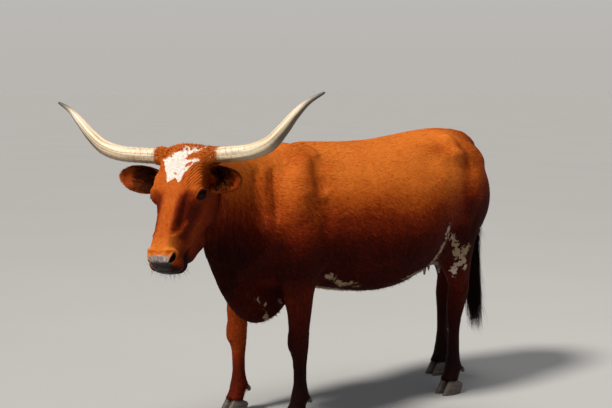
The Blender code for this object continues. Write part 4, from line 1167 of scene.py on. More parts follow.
def inside_ear(h, parts, normals):
    share = np.zeros(len(h))
    for side, name in ((1, "ear_left"), (-1, "ear_right")):
        _, _, opens, _ = ear_axes(side)
        facing = normals @ (HEAD_AXES @ opens)
        share = np.where(is_part(parts, name), rise(-0.05, 0.35, facing), share)
    return share


def ear_place(h, side):
    root, along, _, _ = ear_axes(side)
    return ((h - root) @ along + EAR_SUNK) / EAR_LENGTH[side]


def soften_numbers(values, rounds):
    """Blends a number over the skin, so that it doesn't jump where one part meets another."""
    first, second = edges_of(skin.data).T
    count = len(values)
    neighbours = np.maximum(np.bincount(first, minlength=count) + np.bincount(second, minlength=count), 1)
    for _ in range(rounds):
        total = np.bincount(first, values[second], count) + np.bincount(second, values[first], count)
        values = 0.5 * values + 0.5 * total / neighbours
    return values


# Painted shadows below the hook bone and down the thigh: a line, a width in millimetres, and how much darker.
RUMP_PAINTED_SHADOWS = [
    ([(235, -165, 1190), (335, -185, 1190)], 30, 0.2),
    ([(412, -185, 1200), (418, -200, 1130), (430, -235, 930)], 36, 0.3),
]


def shades(points, normals, parts):
    """Red shade with painted light and shade, black hair with painted shade, and bare skin, each 0 to 1."""
    h, own = to_head(points), points + MIDDLE
    u, v, w = h.T
    x, y, z = own.T
    head, neck = is_part(parts, "head"), is_part(parts, "neck")
    # Darker low down, partly her own colour and partly painted shade, and painted shade where the skin faces
    # down.
    shade = 0.03 + 0.74 * fade(0.72, 1.14, z) + 0.14 * fade(-0.5, 0.6, normals[:, 2])
    # Painted shade on the rump and in the hollow behind the shoulder blade.
    shade += 0.28 * rise(0.36, 0.6, x) + 0.18 * hump(x + 0.44, 0.1) * rise(1.0, 1.1, z)
    one_side = np.column_stack([x, -np.abs(y), z])
    # Painted shadows below the hook bone and down the thigh, on both sides.
    for line, width, more in RUMP_PAINTED_SHADOWS:
        shade += more * hump(from_line(one_side, np.array(metres(line))), width / 1000)
    # The lower neck darker: her own colour and painted shade.
    shade += 0.14 * neck * fade(1.08, 1.2, z)
    legs = is_part(parts, *LEGS)
    lit_far_foreleg = is_part(parts, "front_leg_right")
    low = fade(0.3, 0.62, z)
    # Lower legs darker, her own colour; their tops darker to meet the brisket, a painted shade.
    shade = np.where(legs, 0.7 + 0.26 * low + 0.22 * rise(0.56, 0.72, z), shade)
    # Painted light: the far foreleg is kept lighter than the others.
    shade = np.where(lit_far_foreleg, 0.42 + 0.3 * fade(0.15, 0.35, z), shade)
    # Painted shade and light on the face: its sides and jaw are darker than its front, and toward the nose the
    # sides darken further while the top lightens.
    shaded_side_of_face = fade(-0.11, -0.02, w)
    face = 0.2 + 0.3 * shaded_side_of_face + 0.22 * fade(-0.26, -0.12, w)
    toward_nose = rise(0.4, 0.48, u)
    face += toward_nose * (0.18 * shaded_side_of_face - 0.16 * (1 - shaded_side_of_face))
    one_side = np.column_stack([u[head], np.abs(v[head]), w[head]])
    # Painted shade beside the nose bone and in the valley below the eye, sparing the lit cheek ridge.
    nose_side_shade = rise(0.024, 0.042, one_side[:, 1]) * rise(0.2, 0.27, one_side[:, 0])
    nose_side_shade *= fade(0.385, 0.415, one_side[:, 0]) * rise(-0.13, -0.07, one_side[:, 2])
    nose_side_shade *= 1 - hump(from_line(one_side, np.array(metres(CHEEK_RIDGE))), 0.008)
    face[head] += 0.34 * nose_side_shade + 0.2 * hump(from_line(one_side, np.array(metres(VALLEY))), 0.017)
    # A painted highlight on the nostril wings.
    face[head] -= 0.24 * hump(from_line(one_side, np.array(metres(WING_RIDGE[:3]))), 0.012)
    shade = np.where(head, face, shade)
    shade = np.where(is_part(parts, "ear_left", "ear_right"), 0.42, shade)
    shade = np.where(is_part(parts, "tail"), 0.35 + 0.5 * fade(0.8, 1.1, z), shade)
    dark = np.zeros(len(points))
    # Dark lid rims, and round them a painted shade that runs out behind the eye.
    dark = np.maximum(dark, near_eyes(h, 0.0026, 0.005) * head)
    lips_away = from_line(points[head], lips)
    # The lower lip and chin darkened: dark skin and painted shade.
    dark_and_shaded_low_lip = rise(0.405, 0.445, u) * fade(-0.135, -0.105, w)
    dark[head] = np.maximum(dark[head], 0.93 * dark_and_shaded_low_lip[head])
    # Painted shade in the hollow under the nose plate.
    shaded_under_plate = rise(0.504, 0.519, u) * fade(-0.04, -0.026, w) * rise(-0.05, -0.034, v)
    dark[head] = np.maximum(dark[head], 0.93 * shaded_under_plate[head])
    # Painted shade along the groove between the lips.
    dark[head] = np.maximum(dark[head], fade(0.002, 0.007, lips_away))
    # Dark skin round the nostrils and painted shade in their openings.
    for side in (1, -1):
        reach, _ = nostril_reach(points, side)
        dark = np.maximum(dark, fade(1.0, 1.7, reach) * head)
    for side, name in ((1, "ear_left"), (-1, "ear_right")):
        t = ear_place(h, side)
        # Dark hair inside the ears; on the far ear it reaches nearer the tip as a painted shade.
        deep = fade(*((0.3, 0.62) if side == 1 else (0.45, 0.85)), t) * inside_ear(h, parts, normals)
        dark = np.where(is_part(parts, name), np.maximum(0.88 * deep, 0.15 * rise(0.7, 1.0, t)), dark)
    # Black lower legs, her own colour, but not on the far foreleg, which is painted as lit.
    dark = np.where(legs & ~lit_far_foreleg, np.maximum(dark, 0.55 * fade(0.16, 0.42, z)), dark)
    dark = np.where(is_part(parts, "tail"), fade(0.74, 0.92, z), dark)
    plate = rise(0.488, 0.498, u + 0.1 * np.maximum(0, -w - 0.05))
    half_plate = 0.044 - 0.3 * np.clip(-w - 0.045, 0, 0.06) - 0.6 * np.clip(w + 0.022, 0, 0.03)
    plate *= rise(-0.11, -0.098, w) * fade(-0.004, 0.005, np.abs(v) - half_plate)
    bare = plate
    bare = np.maximum(bare * head, near_eyes(h, 0.0, 0.0022) * head)
    bare = np.where(is_part(parts, "udder"), 0.9, bare)
    return np.clip(shade, 0, 1), np.clip(dark, 0, 1), np.clip(bare, 0, 1)


skin_white, skin_mottle = white_marks(skin_points, skin_parts)
skin_shade, skin_dark, skin_bare = shades(skin_points, skin_normals, skin_parts)
skin_shade = soften_numbers(skin_shade, 14)
for name, values in (
    ("white_edge", skin_white), ("mottle", skin_mottle), ("shade", skin_shade), ("dark", skin_dark),
    ("bare", skin_bare),
):
    keep_number(skin.data, name, values)
keep_number(skin.data, "tone", np.zeros(len(skin_points)))
print("points under white hair:", int((skin_white > 0).sum()))

# %% [markdown]
# ## Materials
# Skin and coat share one shader group for their colours, so that a tuft always matches the skin below it.
# The group reads the stored numbers, frays the white edges with noise and runs the red from orange to nearly
# black. Groups put out colours, masks and heights only, and each material keeps its own shader.

# %% Helpers for shader nodes
def node(tree, kind, **settings):
    made = tree.nodes.new(kind)
    for name, value in settings.items():
        setattr(made, name, value)
    return made


def feed(tree, value, socket):
    if isinstance(value, bpy.types.NodeSocket):
        tree.links.new(value, socket)
    else:
        socket.default_value = value


def maths(tree, operation, a, b=0.0, clamp=False):
    made = node(tree, "ShaderNodeMath", operation=operation, use_clamp=clamp)
    feed(tree, a, made.inputs[0])
    feed(tree, b, made.inputs[1])
    return made.outputs[0]


def times(tree, a, b):
    return maths(tree, "MULTIPLY", a, b)


def plus(tree, a, b):
    return maths(tree, "ADD", a, b)


def swing(tree, value, size, middle=0.5):
    """A noise moved so that its middle is nothing, and drawn out to a size."""
    return times(tree, maths(tree, "SUBTRACT", value, middle), size)


def blend(tree, share, a, b):
    made = node(tree, "ShaderNodeMix", data_type="RGBA")
    feed(tree, share, made.inputs[0])
    feed(tree, a, made.inputs[6])
    feed(tree, b, made.inputs[7])
    return made.outputs[2]


def spread(tree, value, low, high, to_low=0.0, to_high=1.0):
    made = node(tree, "ShaderNodeMapRange", interpolation_type="SMOOTHSTEP")
    for socket, number in zip(made.inputs, (value, low, high, to_low, to_high)):
        feed(tree, number, socket)
    return made.outputs[0]


def noise(tree, where, scale, detail=2.0, stretch=None):
    if stretch is not None:
        mapping = node(tree, "ShaderNodeMapping")
        mapping.inputs["Scale"].default_value = stretch
        tree.links.new(where, mapping.inputs["Vector"])
        where = mapping.outputs[0]
    made = node(tree, "ShaderNodeTexNoise")
    made.inputs["Scale"].default_value = scale
    made.inputs["Detail"].default_value = detail
    tree.links.new(where, made.inputs["Vector"])
    return made.outputs[0]


def ramp(tree, value, stops):
    made = node(tree, "ShaderNodeValToRGB")
    cells = made.color_ramp.elements
    while len(cells) < len(stops):
        cells.new(0.5)
    for cell, (at, colour) in zip(cells, stops):
        cell.position = at
        cell.color = (*colour, 1.0)
    feed(tree, value, made.inputs[0])
    return made.outputs[0]


def stored(tree, name):
    return node(tree, "ShaderNodeAttribute", attribute_name=name).outputs["Fac"]


def own_place(tree):
    return node(tree, "ShaderNodeTexCoord").outputs["Object"]


def new_group(name, inputs, outputs):
    group = bpy.data.node_groups.new(name, "ShaderNodeTree")
    for label, kind, value in inputs:
        group.interface.new_socket(name=label, in_out="INPUT", socket_type=kind).default_value = value
    for label, kind in outputs:
        group.interface.new_socket(name=label, in_out="OUTPUT", socket_type=kind)
    return group, node(group, "NodeGroupInput"), node(group, "NodeGroupOutput")


def use_group(tree, group, **values):
    made = node(tree, "ShaderNodeGroup", node_tree=group)
    for name, value in values.items():
        feed(tree, value, made.inputs[name.replace("_", " ")])
    return made


print("shader helpers ready")

# %% [markdown]
# The hide's group turns five stored numbers into one colour: how far inside a white mark a point lies, how
# mottled the mark is, the shade of the red with the painted light and shade in it, the share of black hair and
# of painted shade in hollows, and a tuft's own tone. A second group gives the fine relief of short hair. Both
# are built once and placed in each material that needs them.

# %% The hide's colours, as one group
NUMBER, COLOUR = "NodeSocketFloat", "NodeSocketColor"
REDS = [
    (0.0, (0.59, 0.15, 0.019)),
    (0.25, (0.37, 0.066, 0.006)),
    (0.5, (0.155, 0.016, 0.002)),
    (0.75, (0.052, 0.004, 0.001)),
    (1.0, (0.014, 0.0015, 0.0008)),
]


def hide_group():
    group, given, out = new_group(
        "Hide colours",
        [
            ("White edge", NUMBER, -1.0), ("Mottle", NUMBER, 0.0), ("Shade", NUMBER, 0.3),
            ("Dark", NUMBER, 0.0), ("Tone", NUMBER, 0.0),
        ],
        [("Colour", COLOUR), ("White", NUMBER)],
    )
    here = own_place(group)
    fray = swing(group, noise(group, here, 70, 3), 0.01)
    holes = swing(group, noise(group, here, 62, 1.5), 0.13, 0.52)
    holes = times(group, holes, given.outputs["Mottle"])
    reach = plus(group, plus(group, given.outputs["White edge"], fray), holes)
    white = times(
        group, spread(group, reach, -0.0016, 0.0016),
        spread(group, given.outputs["White edge"], -0.012, -0.004),
    )
    patchy = swing(group, noise(group, here, 6, 3), 0.3)
    grain = swing(group, noise(group, here, 90, 2), 0.22)
    shade = plus(
        group, plus(group, given.outputs["Shade"], patchy), plus(group, grain, given.outputs["Tone"]),
    )
    red = ramp(group, shade, REDS)
    cream = ramp(group, noise(group, here, 120, 2), [(0.3, (0.58, 0.48, 0.38)), (0.7, (0.78, 0.75, 0.7))])
    # Under a deep shade of the red the white is painted dim and tan: painted shade on the pale patches.
    cream = blend(
        group, spread(group, given.outputs["Shade"], 0.5, 0.95, 0.0, 0.85), cream, (0.19, 0.1, 0.032, 1),
    )
    coat = blend(group, white, red, cream)
    coat = blend(group, given.outputs["Dark"], coat, (0.007, 0.004, 0.004, 1))
    group.links.new(coat, out.inputs["Colour"])
    group.links.new(white, out.inputs["White"])
    return group


def grain_group():
    """Fine relief of short hair: streaks along the body, and a little unevenness below them."""
    group, given, out = new_group("Hair grain", [("Scale", NUMBER, 1.0)], [("Height", NUMBER)])
    here = own_place(group)
    streaks = noise(group, here, 230, 3, (0.35, 2.4, 1.8))
    waves = noise(group, here, 60, 2, (0.6, 1.0, 1.7))
    total = plus(group, times(group, streaks, 0.6), times(group, waves, 0.1))
    group.links.new(times(group, total, given.outputs["Scale"]), out.inputs["Height"])
    return group


HIDE = hide_group()
GRAIN = grain_group()
print("groups:", HIDE.name, "and", GRAIN.name)

# %% [markdown]
# The skin shows only between the tufts and where it is bare: the nose plate, the rims of the lids and the
# udder. There it is pebbled and a little moist. The coat's shader is duller, with almost no mirror light, for
# bright lines on thousands of tufts would look like dust.

# %% Materials of the skin and the coat
def new_material(name):
    material = bpy.data.materials.new(name)
    material.use_nodes = True
    tree = material.node_tree
    return material, tree, tree.nodes["Principled BSDF"]


def add_bump(tree, shader, height, strength, distance):
    bump = node(tree, "ShaderNodeBump")
    bump.inputs["Strength"].default_value = strength
    bump.inputs["Distance"].default_value = distance
    tree.links.new(height, bump.inputs["Height"])
    tree.links.new(bump.outputs[0], shader.inputs["Normal"])


def hide_colours(tree):
    return use_group(
        tree, HIDE, White_edge=stored(tree, "white_edge"), Mottle=stored(tree, "mottle"),
        Shade=stored(tree, "shade"), Dark=stored(tree, "dark"), Tone=stored(tree, "tone"),
    )


def skin_material():
    material, tree, shader = new_material("skin with short hair")
    hide = hide_colours(tree)
    here = own_place(tree)
    bare = stored(tree, "bare")
    flesh = ramp(
        tree, noise(tree, here, 75, 3),
        [(0.28, (0.06, 0.046, 0.042)), (0.5, (0.25, 0.2, 0.18)), (0.7, (0.46, 0.39, 0.35))],
    )
    # The stored dark, with its painted shade in the hollows, darkens the bare skin too.
    flesh = blend(tree, stored(tree, "dark"), flesh, (0.012, 0.009, 0.009, 1))
    tree.links.new(blend(tree, bare, hide.outputs["Colour"], flesh), shader.inputs["Base Color"])
    tree.links.new(spread(tree, bare, 0.2, 0.9, 0.62, 0.3), shader.inputs["Roughness"])
    shader.inputs["Specular IOR Level"].default_value = 0.05
    cells = node(tree, "ShaderNodeTexVoronoi", feature="SMOOTH_F1")
    cells.inputs["Scale"].default_value = 300
    cells.inputs["Smoothness"].default_value = 0.35
    tree.links.new(here, cells.inputs["Vector"])
    hollow = maths(tree, "POWER", cells.outputs["Distance"], 2.0)
    pebbles = times(tree, maths(tree, "SUBTRACT", 0.8, hollow), bare)
    hair = use_group(tree, GRAIN, Scale=maths(tree, "SUBTRACT", 1.0, bare)).outputs["Height"]
    add_bump(tree, shader, plus(tree, hair, pebbles), 0.4, 0.0016)
    return material


def coat_material(name, roughness):
    material, tree, shader = new_material(name)
    hide = hide_colours(tree)
    tree.links.new(hide.outputs["Colour"], shader.inputs["Base Color"])
    shader.inputs["Roughness"].default_value = roughness
    shader.inputs["Specular IOR Level"].default_value = 0.02
    return material


SKIN_FINISH = skin_material()
COAT_FINISH = coat_material("short coat", 0.56)
skin.data.materials.clear()
skin.data.materials.append(SKIN_FINISH)
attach(skin, "root")
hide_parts("head", "ear_left", "ear_right", *FLESH)
bpy.data.objects.remove(form)
print("materials:", SKIN_FINISH.name, "and", COAT_FINISH.name)

# %% [markdown]
# ## Eyes
# A cow's eye is a dark, wet globe with a slightly bulging cornea, a brown iris and a pupil that lies level as
# a wide bar. Each is a round mesh finer toward the front, with the cornea raised in it. A clear second shell
# would be lost in the export, so the gloss comes from a low roughness and a thin coat on the shader. The coat
# and the mirror light are kept weak, because the lids and the brow shade the eye.

# %% Eyeballs
def eyeball(side):
    rows, count = 40, 64
    polar = math.pi * (np.arange(rows) / (rows - 1)) ** 1.35
    turn = 2 * math.pi * np.arange(count) / count
    polar, turn = np.meshgrid(np.maximum(polar, 0.004), turn, indexing="ij")
    bulge = 1 + 0.055 * fade(0.35, 0.62, polar)
    local = np.stack([np.sin(polar) * np.cos(turn), np.sin(polar) * np.sin(turn), np.cos(polar)], -1)
    local = local * (EYE_RADIUS - 0.0008) * bulge[..., None]
    centre, axes = eye_axes(side)
    made = tube(
        "left_eye" if side == 1 else "right_eye",
        from_head(local.reshape(-1, 3) @ axes.T + centre).reshape(rows, count, 3),
    )
    keep_place(made.data, "eye_place", local.reshape(-1, 3) / EYE_RADIUS)
    made.data.shade_smooth()
    return made


def eye_material():
    material, tree, shader = new_material("wet brown eye")
    place = node(tree, "ShaderNodeAttribute", attribute_name="eye_place").outputs["Vector"]
    parts = node(tree, "ShaderNodeSeparateXYZ")
    tree.links.new(place, parts.inputs[0])
    x, y = parts.outputs[0], parts.outputs[1]
    out = maths(tree, "SQRT", plus(tree, times(tree, x, x), times(tree, y, y)))
    pupil = plus(
        tree, maths(tree, "POWER", maths(tree, "ABSOLUTE", maths(tree, "DIVIDE", x, 0.36)), 2.6),
        maths(tree, "POWER", maths(tree, "ABSOLUTE", maths(tree, "DIVIDE", y, 0.17)), 2.6),
    )
    iris = ramp(
        tree, noise(tree, place, 9, 4, (1, 1, 0.2)),
        [(0.35, (0.005, 0.003, 0.002)), (0.7, (0.022, 0.01, 0.005))],
    )
    white = ramp(tree, noise(tree, place, 5, 3), [(0.3, (0.016, 0.009, 0.007)), (0.75, (0.06, 0.036, 0.03))])
    ball_colour = blend(tree, spread(tree, out, 0.74, 0.84), iris, white)
    ball_colour = blend(tree, spread(tree, pupil, 1.25, 0.8), ball_colour, (0.002, 0.002, 0.003, 1))
    tree.links.new(ball_colour, shader.inputs["Base Color"])
    shader.inputs["Roughness"].default_value = 0.12
    shader.inputs["Specular IOR Level"].default_value = 0.06
    shader.inputs["Coat Weight"].default_value = 0.05
    shader.inputs["Coat Roughness"].default_value = 0.02
    return material


EYE_FINISH = eye_material()
for side, node_name in ((1, "eye_left"), (-1, "eye_right")):
    eye = eyeball(side)
    eye.data.materials.append(EYE_FINISH)
    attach(eye, "root")
    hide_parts(node_name)
print("eyes set")

# %% [markdown]
# ## Horns
# The horns leave the poll level, sweep out and forward, then turn up to a slim tip. They are cream with brown
# streaks along them, ringed near the root and grey at the tip. The same middle line as the solid's is swept
# with many more rings, so that growth rings can be real ridges, and streaks are noise drawn out lengthwise.

# %% Horns
HORN_LINE = metres([
    (52, 85, -36), (47, 139, -34), (41, 220, -34), (33, 301, -30), (13, 374, -12),
    (-28, 432, 18), (-77, 484, 46), (-124, 538, 64), (-160, 604, 72),
])
HORN_RADIUS = 0.0315


def horn(side):
    line = smooth_rows([(u, v * side, w) for u, v, w in HORN_LINE], 30)
    count = 48
    turn = 2 * math.pi * np.arange(count) / count
    rings, places = [], []
    for i, p in enumerate(line):
        t = i / (len(line) - 1)
        ahead = line[min(i + 1, len(line) - 1)] - line[max(i - 1, 0)]
        ahead = ahead / np.linalg.norm(ahead)
        across = np.cross(ahead, (0, 0, 1.0))
        across /= np.linalg.norm(across)
        above = np.cross(across, ahead)
        radius = HORN_RADIUS * (1 - max(0.0, (t - 0.45) / 0.55) ** 1.25 * 0.87)
        ringed = max(0.0, 1 - t / 0.62)
        ridge = 0.0009 * ringed * math.sin(2 * math.pi * t * 27 + 2.2 * math.sin(11 * t))
        ridge += 0.0008 * ringed * math.sin(2 * math.pi * t * 61)
        uneven = 0.0005 * np.sin(3 * turn + 9 * t) + 0.0004 * np.sin(7 * turn - 5 * t)
        reach = radius * (1 - 0.55 * rise(0.985, 1.0, t)) + ridge + uneven * (1 - t)
        rings.append(
            from_head(p + reach[:, None] * (across * np.cos(turn)[:, None] + above * np.sin(turn)[:, None])),
        )
        places.append(np.column_stack([np.cos(turn) * 0.5, np.sin(turn) * 0.5, np.full(count, t)]))
    made = tube("left_horn" if side == 1 else "right_horn", rings)
    keep_place(made.data, "horn_place", np.concatenate(places))
    # How far each point faces down, for the painted shade under the horn.
    keep_number(made.data, "under", -normals_of(made.data)[:, 2])
    made.data.shade_smooth()
    return made


def horn_material():
    material, tree, shader = new_material("polished horn")
    place = node(tree, "ShaderNodeAttribute", attribute_name="horn_place").outputs["Vector"]
    parts = node(tree, "ShaderNodeSeparateXYZ")
    tree.links.new(place, parts.inputs[0])
    t = parts.outputs[2]
    under = stored(tree, "under")
    ragged = swing(tree, noise(tree, place, 14, 3, (1.0, 1.0, 0.5)), 0.9)
    # Painted shade: where the horn faces down.
    below = spread(tree, plus(tree, under, ragged), 0.1, 0.85)
    streaks = noise(tree, place, 9, 4, (1.0, 1.0, 0.35))
    fine = noise(tree, place, 34, 3, (1.0, 1.0, 0.1))
    rings = noise(tree, place, 46, 2, (0.06, 0.06, 1.0))
    body = ramp(
        tree, streaks, [(0.3, (0.42, 0.26, 0.13)), (0.46, (0.68, 0.53, 0.34)), (0.66, (0.86, 0.76, 0.58))],
    )
    body = blend(tree, times(tree, spread(tree, fine, 0.52, 0.66), 0.55), body, (0.2, 0.115, 0.06, 1))
    # Painted shade: the underside is darker brown, and toward the tip nearly black.
    body = blend(tree, times(tree, below, 0.72), body, (0.2, 0.105, 0.042, 1))
    body = blend(
        tree,
        times(
            tree, spread(tree, plus(tree, under, times(tree, ragged, 0.5)), -0.15, 0.4),
            spread(tree, t, 0.42, 0.6, 0.0, 0.92),
        ),
        body, (0.05, 0.038, 0.027, 1),
    )
    body = blend(
        tree, times(tree, spread(tree, rings, 0.52, 0.62), spread(tree, t, 0.45, 0.05, 0.0, 0.75)), body,
        (0.3, 0.17, 0.09, 1),
    )
    tip = spread(tree, plus(tree, t, swing(tree, streaks, 0.12)), 0.78, 0.97)
    body = blend(tree, tip, body, (0.075, 0.062, 0.052, 1))
    tree.links.new(body, shader.inputs["Base Color"])
    tree.links.new(spread(tree, fine, 0.3, 0.7, 0.3, 0.48), shader.inputs["Roughness"])
    add_bump(tree, shader, plus(tree, fine, times(tree, rings, 0.6)), 0.35, 0.0012)
    return material


HORN_FINISH = horn_material()
for side, node_name in ((1, "horn_left"), (-1, "horn_right")):
    piece = horn(side)
    piece.data.materials.append(HORN_FINISH)
    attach(piece, "root")
    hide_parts(node_name)
print("horns swept")

# %% [markdown]
# ## Hooves
# Each foot stands on two claws, with two small dewclaws behind. A claw is a half cone with a flat sole, cut
# slantwise by the hair line, and ringed like the horns because it grows from the top in the same way. They
# are lofted from the sole up and run on a little under the hair, so no gap shows there.

# %% Claws and dewclaws
CLAW_LENGTH = 0.108
CLAW_WIDTH = 0.047
CLAW_SPLIT = 0.004


def superellipse(turn, power):
    c, s = np.cos(turn), np.sin(turn)
    return np.sign(c) * np.abs(c) ** (2 / power), np.sign(s) * np.abs(s) ** (2 / power)


def claw(name, x, y, out):
    middle = y + out * (CLAW_WIDTH + CLAW_SPLIT) / 2
    turn = 2 * math.pi * np.arange(44) / 44
    c, s = superellipse(turn, 2.6)
    rings = []
    for t in list(np.linspace(0, 1, 26)) + [1.12, 1.25]:
        z = np.full(44, 0.05 * t)
        for _ in range(5):
            place = x - 0.036 + 0.52 * z + (CLAW_LENGTH / 2 - 0.13 * z) * c
            hair_line = 0.046 + 0.028 * np.clip((x + 0.02 - place) / 0.095, -0.2, 1.2)
            z = t * hair_line
        ridge = 0.0006 * math.sin(2 * math.pi * t * 8.5) * min(1.0, t * 4) if t < 1 else 0.0
        soft = -0.0018 * fade(0.0, 0.06, t) - 0.01 * max(0.0, t - 1) / 0.25
        long = CLAW_LENGTH / 2 - 0.13 * z + ridge + soft
        wide = CLAW_WIDTH / 2 - 0.02 * z + ridge * 0.6 + soft
        narrow = 1 - 0.22 * np.maximum(0.0, -c)
        rings.append(
            np.column_stack([x - 0.036 + 0.52 * z + long * c, middle + wide * s * narrow, z]) - MIDDLE,
        )
    made = tube(name, rings)
    made.data.shade_smooth()
    return made


def dewclaw(name, x, y):
    turn = 2 * math.pi * np.arange(24) / 24
    rings = []
    for k in range(14):
        polar = math.pi * (k + 0.4) / 13.8
        ridge = 1 + 0.02 * math.sin(polar * 14)
        ring = 0.86 * np.column_stack(
            [
                0.0125 * math.sin(polar) * np.cos(turn), 0.0115 * math.sin(polar) * np.sin(turn),
                np.full(24, 0.0195 * math.cos(polar)),
            ],
        ) * ridge
        lean = math.radians(-28)
        rotated = np.column_stack(
            [
                ring[:, 0] * math.cos(lean) + ring[:, 2] * math.sin(lean), ring[:, 1],
                ring[:, 2] * math.cos(lean) - ring[:, 0] * math.sin(lean),
            ],
        )
        rings.append(rotated + (x + 0.042, y, 0.112) - MIDDLE)
    made = tube(name, rings)
    made.data.shade_smooth()
    return made


def hoof_material():
    material, tree, shader = new_material("hoof horn")
    here = own_place(tree)
    rings = noise(tree, here, 60, 2, (0.25, 0.25, 4.0))
    streaks = noise(tree, here, 160, 3, (1.0, 1.0, 0.12))
    body = ramp(
        tree, rings,
        [(0.35, (0.03, 0.023, 0.019)), (0.55, (0.085, 0.064, 0.048)), (0.75, (0.17, 0.135, 0.1))],
    )
    body = blend(tree, times(tree, spread(tree, streaks, 0.5, 0.7), 0.5), body, (0.02, 0.015, 0.013, 1))
    tree.links.new(body, shader.inputs["Base Color"])
    tree.links.new(spread(tree, streaks, 0.3, 0.7, 0.42, 0.62), shader.inputs["Roughness"])
    add_bump(tree, shader, plus(tree, rings, times(tree, streaks, 0.5)), 0.5, 0.0015)
    return material


HOOF_FINISH = hoof_material()
hooves = []
for (end, side), foot_x in FOOT_X.items():
    side_name = "left" if side == LEFT else "right"
    for where, out in (("outer", side), ("inner", -side)):
        tag = f"{end}_{side_name}_{where}"
        foot_y = FOOT_Y[end] * side
        for piece, node_name in (
            (claw("hoof_" + tag, foot_x, foot_y, out), "claw_" + tag),
            (dewclaw("small_hoof_" + tag, foot_x, foot_y + out * 0.021), "dewclaw_" + tag),
        ):
            piece.data.materials.append(HOOF_FINISH)
            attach(piece, "root")
            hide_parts(node_name)
            hooves.append(piece)
print("hooves:", len(hooves))

# %% [markdown]
# ## The coat
# Her summer coat is short and sleek, so most of it could be bump alone. But light on a real flank breaks on
# thousands of small locks that overlap like thatch, and the outline of the back is never a clean curve. So
# fine tufts are laid over the whole skin. Each is a slim closed ridge, rooted in the skin, laid along the lie
# of the hair and tapering to a point. Hair curves would look as good but wouldn't leave Blender as a mesh.

# %% A tool that makes hair of any length
def ridge_faces(rings):
    """Triangles of one closed ridge: a cap at the root, three sides and a point, all facing out."""
    pattern = [(0, 2, 1)]
    for k in range(rings - 1):
        for j in range(3):
            a, b = 3 * k + j, 3 * k + (j + 1) % 3
            pattern += [(a, b, b + 3), (a, b + 3, a + 3)]
    last = 3 * (rings - 1)
    return pattern + [(last + j, last + (j + 1) % 3, last + 3) for j in range(3)]


def hair_mesh(
    name, finish, root, normal, way, parts, numbers, length, width, thick,
    lift=0.0, bend=None, droop=0.0, rings=2, on_skin=False, sink=0.0012, lean=1.0,
):
    """Closed tapering ridges. Root, normal and way are rows; the other sizes are one number each or rows."""
    count = len(root)
    side = unit_rows(np.cross(normal, way))
    width, thick, lift = (np.full(count, size) for size in (width, thick, lift))
    steps = np.linspace(0, 1, rings + 1)
    centres, ups, sides = [], [], []
    for t in steps:
        height = -sink * (1 - t) ** 2 + lift * t**1.4
        centre = root + way * (length * t)[:, None] + normal * height[:, None]
        if bend is not None:
            amount, turns, phase = bend
            angle = 2 * math.pi * turns * t + phase
            aside = amount * (np.sin(angle) - np.sin(phase)) * t**0.5
            off = amount * 0.8 * (np.cos(angle) - np.cos(phase)) * t**0.5
            centre = centre + side * aside[:, None]
            centre = centre + normal * off[:, None]
        centre[:, 2] -= droop * t * t
        up, across = normal, side
        if on_skin and t > 0:
            found = [skin_tree.find_nearest(p) for p in centre.tolist()]
            spots = np.array([f[0] for f in found])
            up = np.array([f[1] for f in found])
            centre = spots + up * (0.0004 + np.maximum(height, 0))[:, None]
            across = np.cross(up, way)
            across /= np.maximum(np.linalg.norm(across, axis=1), 1e-6)[:, None]
        centres.append(centre)
        ups.append(up)
        sides.append(across)
    points = []
    for k, t in enumerate(steps[:-1]):
        slim = (0.58 + 0.42 * math.sin(math.pi * min(1.0, t * 1.2 + 0.18))) * (1 - t**2.6)
        half = (width / 2 * slim)[:, None]
        points += [
            centres[k] - sides[k] * half, centres[k] + sides[k] * half,
            centres[k] + ups[k] * (thick * max(slim, 0.3))[:, None],
        ]
    points.append(centres[-1])
    each = 3 * rings + 1
    stacked = np.stack(points, 1).reshape(-1, 3)
    pattern = ridge_faces(rings)
    faces = (np.array(pattern)[None] + (np.arange(count) * each)[:, None, None]).reshape(-1, 3)
    data = mesh_from(name, stacked, faces)
    for label, values in numbers.items():
        keep_number(data, label, np.repeat(values, each))
    add_bake_map(data, unwrap(root, parts), rings, faces, each)
    data.materials.append(finish)
    data.shade_smooth()
    leaning = []
    for k in range(rings):
        leaning += [ups[k] - sides[k] * lean, ups[k] + sides[k] * lean, ups[k]]
    leaning.append(ups[-1] + way * 0.3)
    data.normals_split_custom_set_from_vertices(np.stack(leaning, 1).reshape(-1, 3).tolist())
    made = link(name, data)
    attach(made, "root")
    print(name + ":", len(faces), "triangles")
    return made


BAKE_PATCH = 0.0015


def add_bake_map(data, uv, rings, faces, each):
    """A small patch for each tuft, at its root's place on the unwrapped skin."""
    patch = []
    for k in range(rings):
        v = BAKE_PATCH * (2 * k / rings - 1)
        patch += [(-BAKE_PATCH, v), (BAKE_PATCH, v), (0.0, v)]
    patch.append((0.0, BAKE_PATCH))
    spots = np.clip(uv[:, None, :] + np.array(patch)[None], 0.0, 1.0).reshape(-1, 2)
    layer = data.uv_layers.new(name="OFBake")
    layer.data.foreach_set("uv", np.ascontiguousarray(spots[faces.ravel()], np.float32).ravel())


print("a tuft with 2 rings has", len(ridge_faces(2)), "triangles, with 5 rings", len(ridge_faces(5)))

# %% [markdown]
# Tufts must stand evenly, though the head's triangles are far smaller than the flank's. So each spot is drawn
# by area: the triangles are laid end to end by their size, and a random step is taken along them.

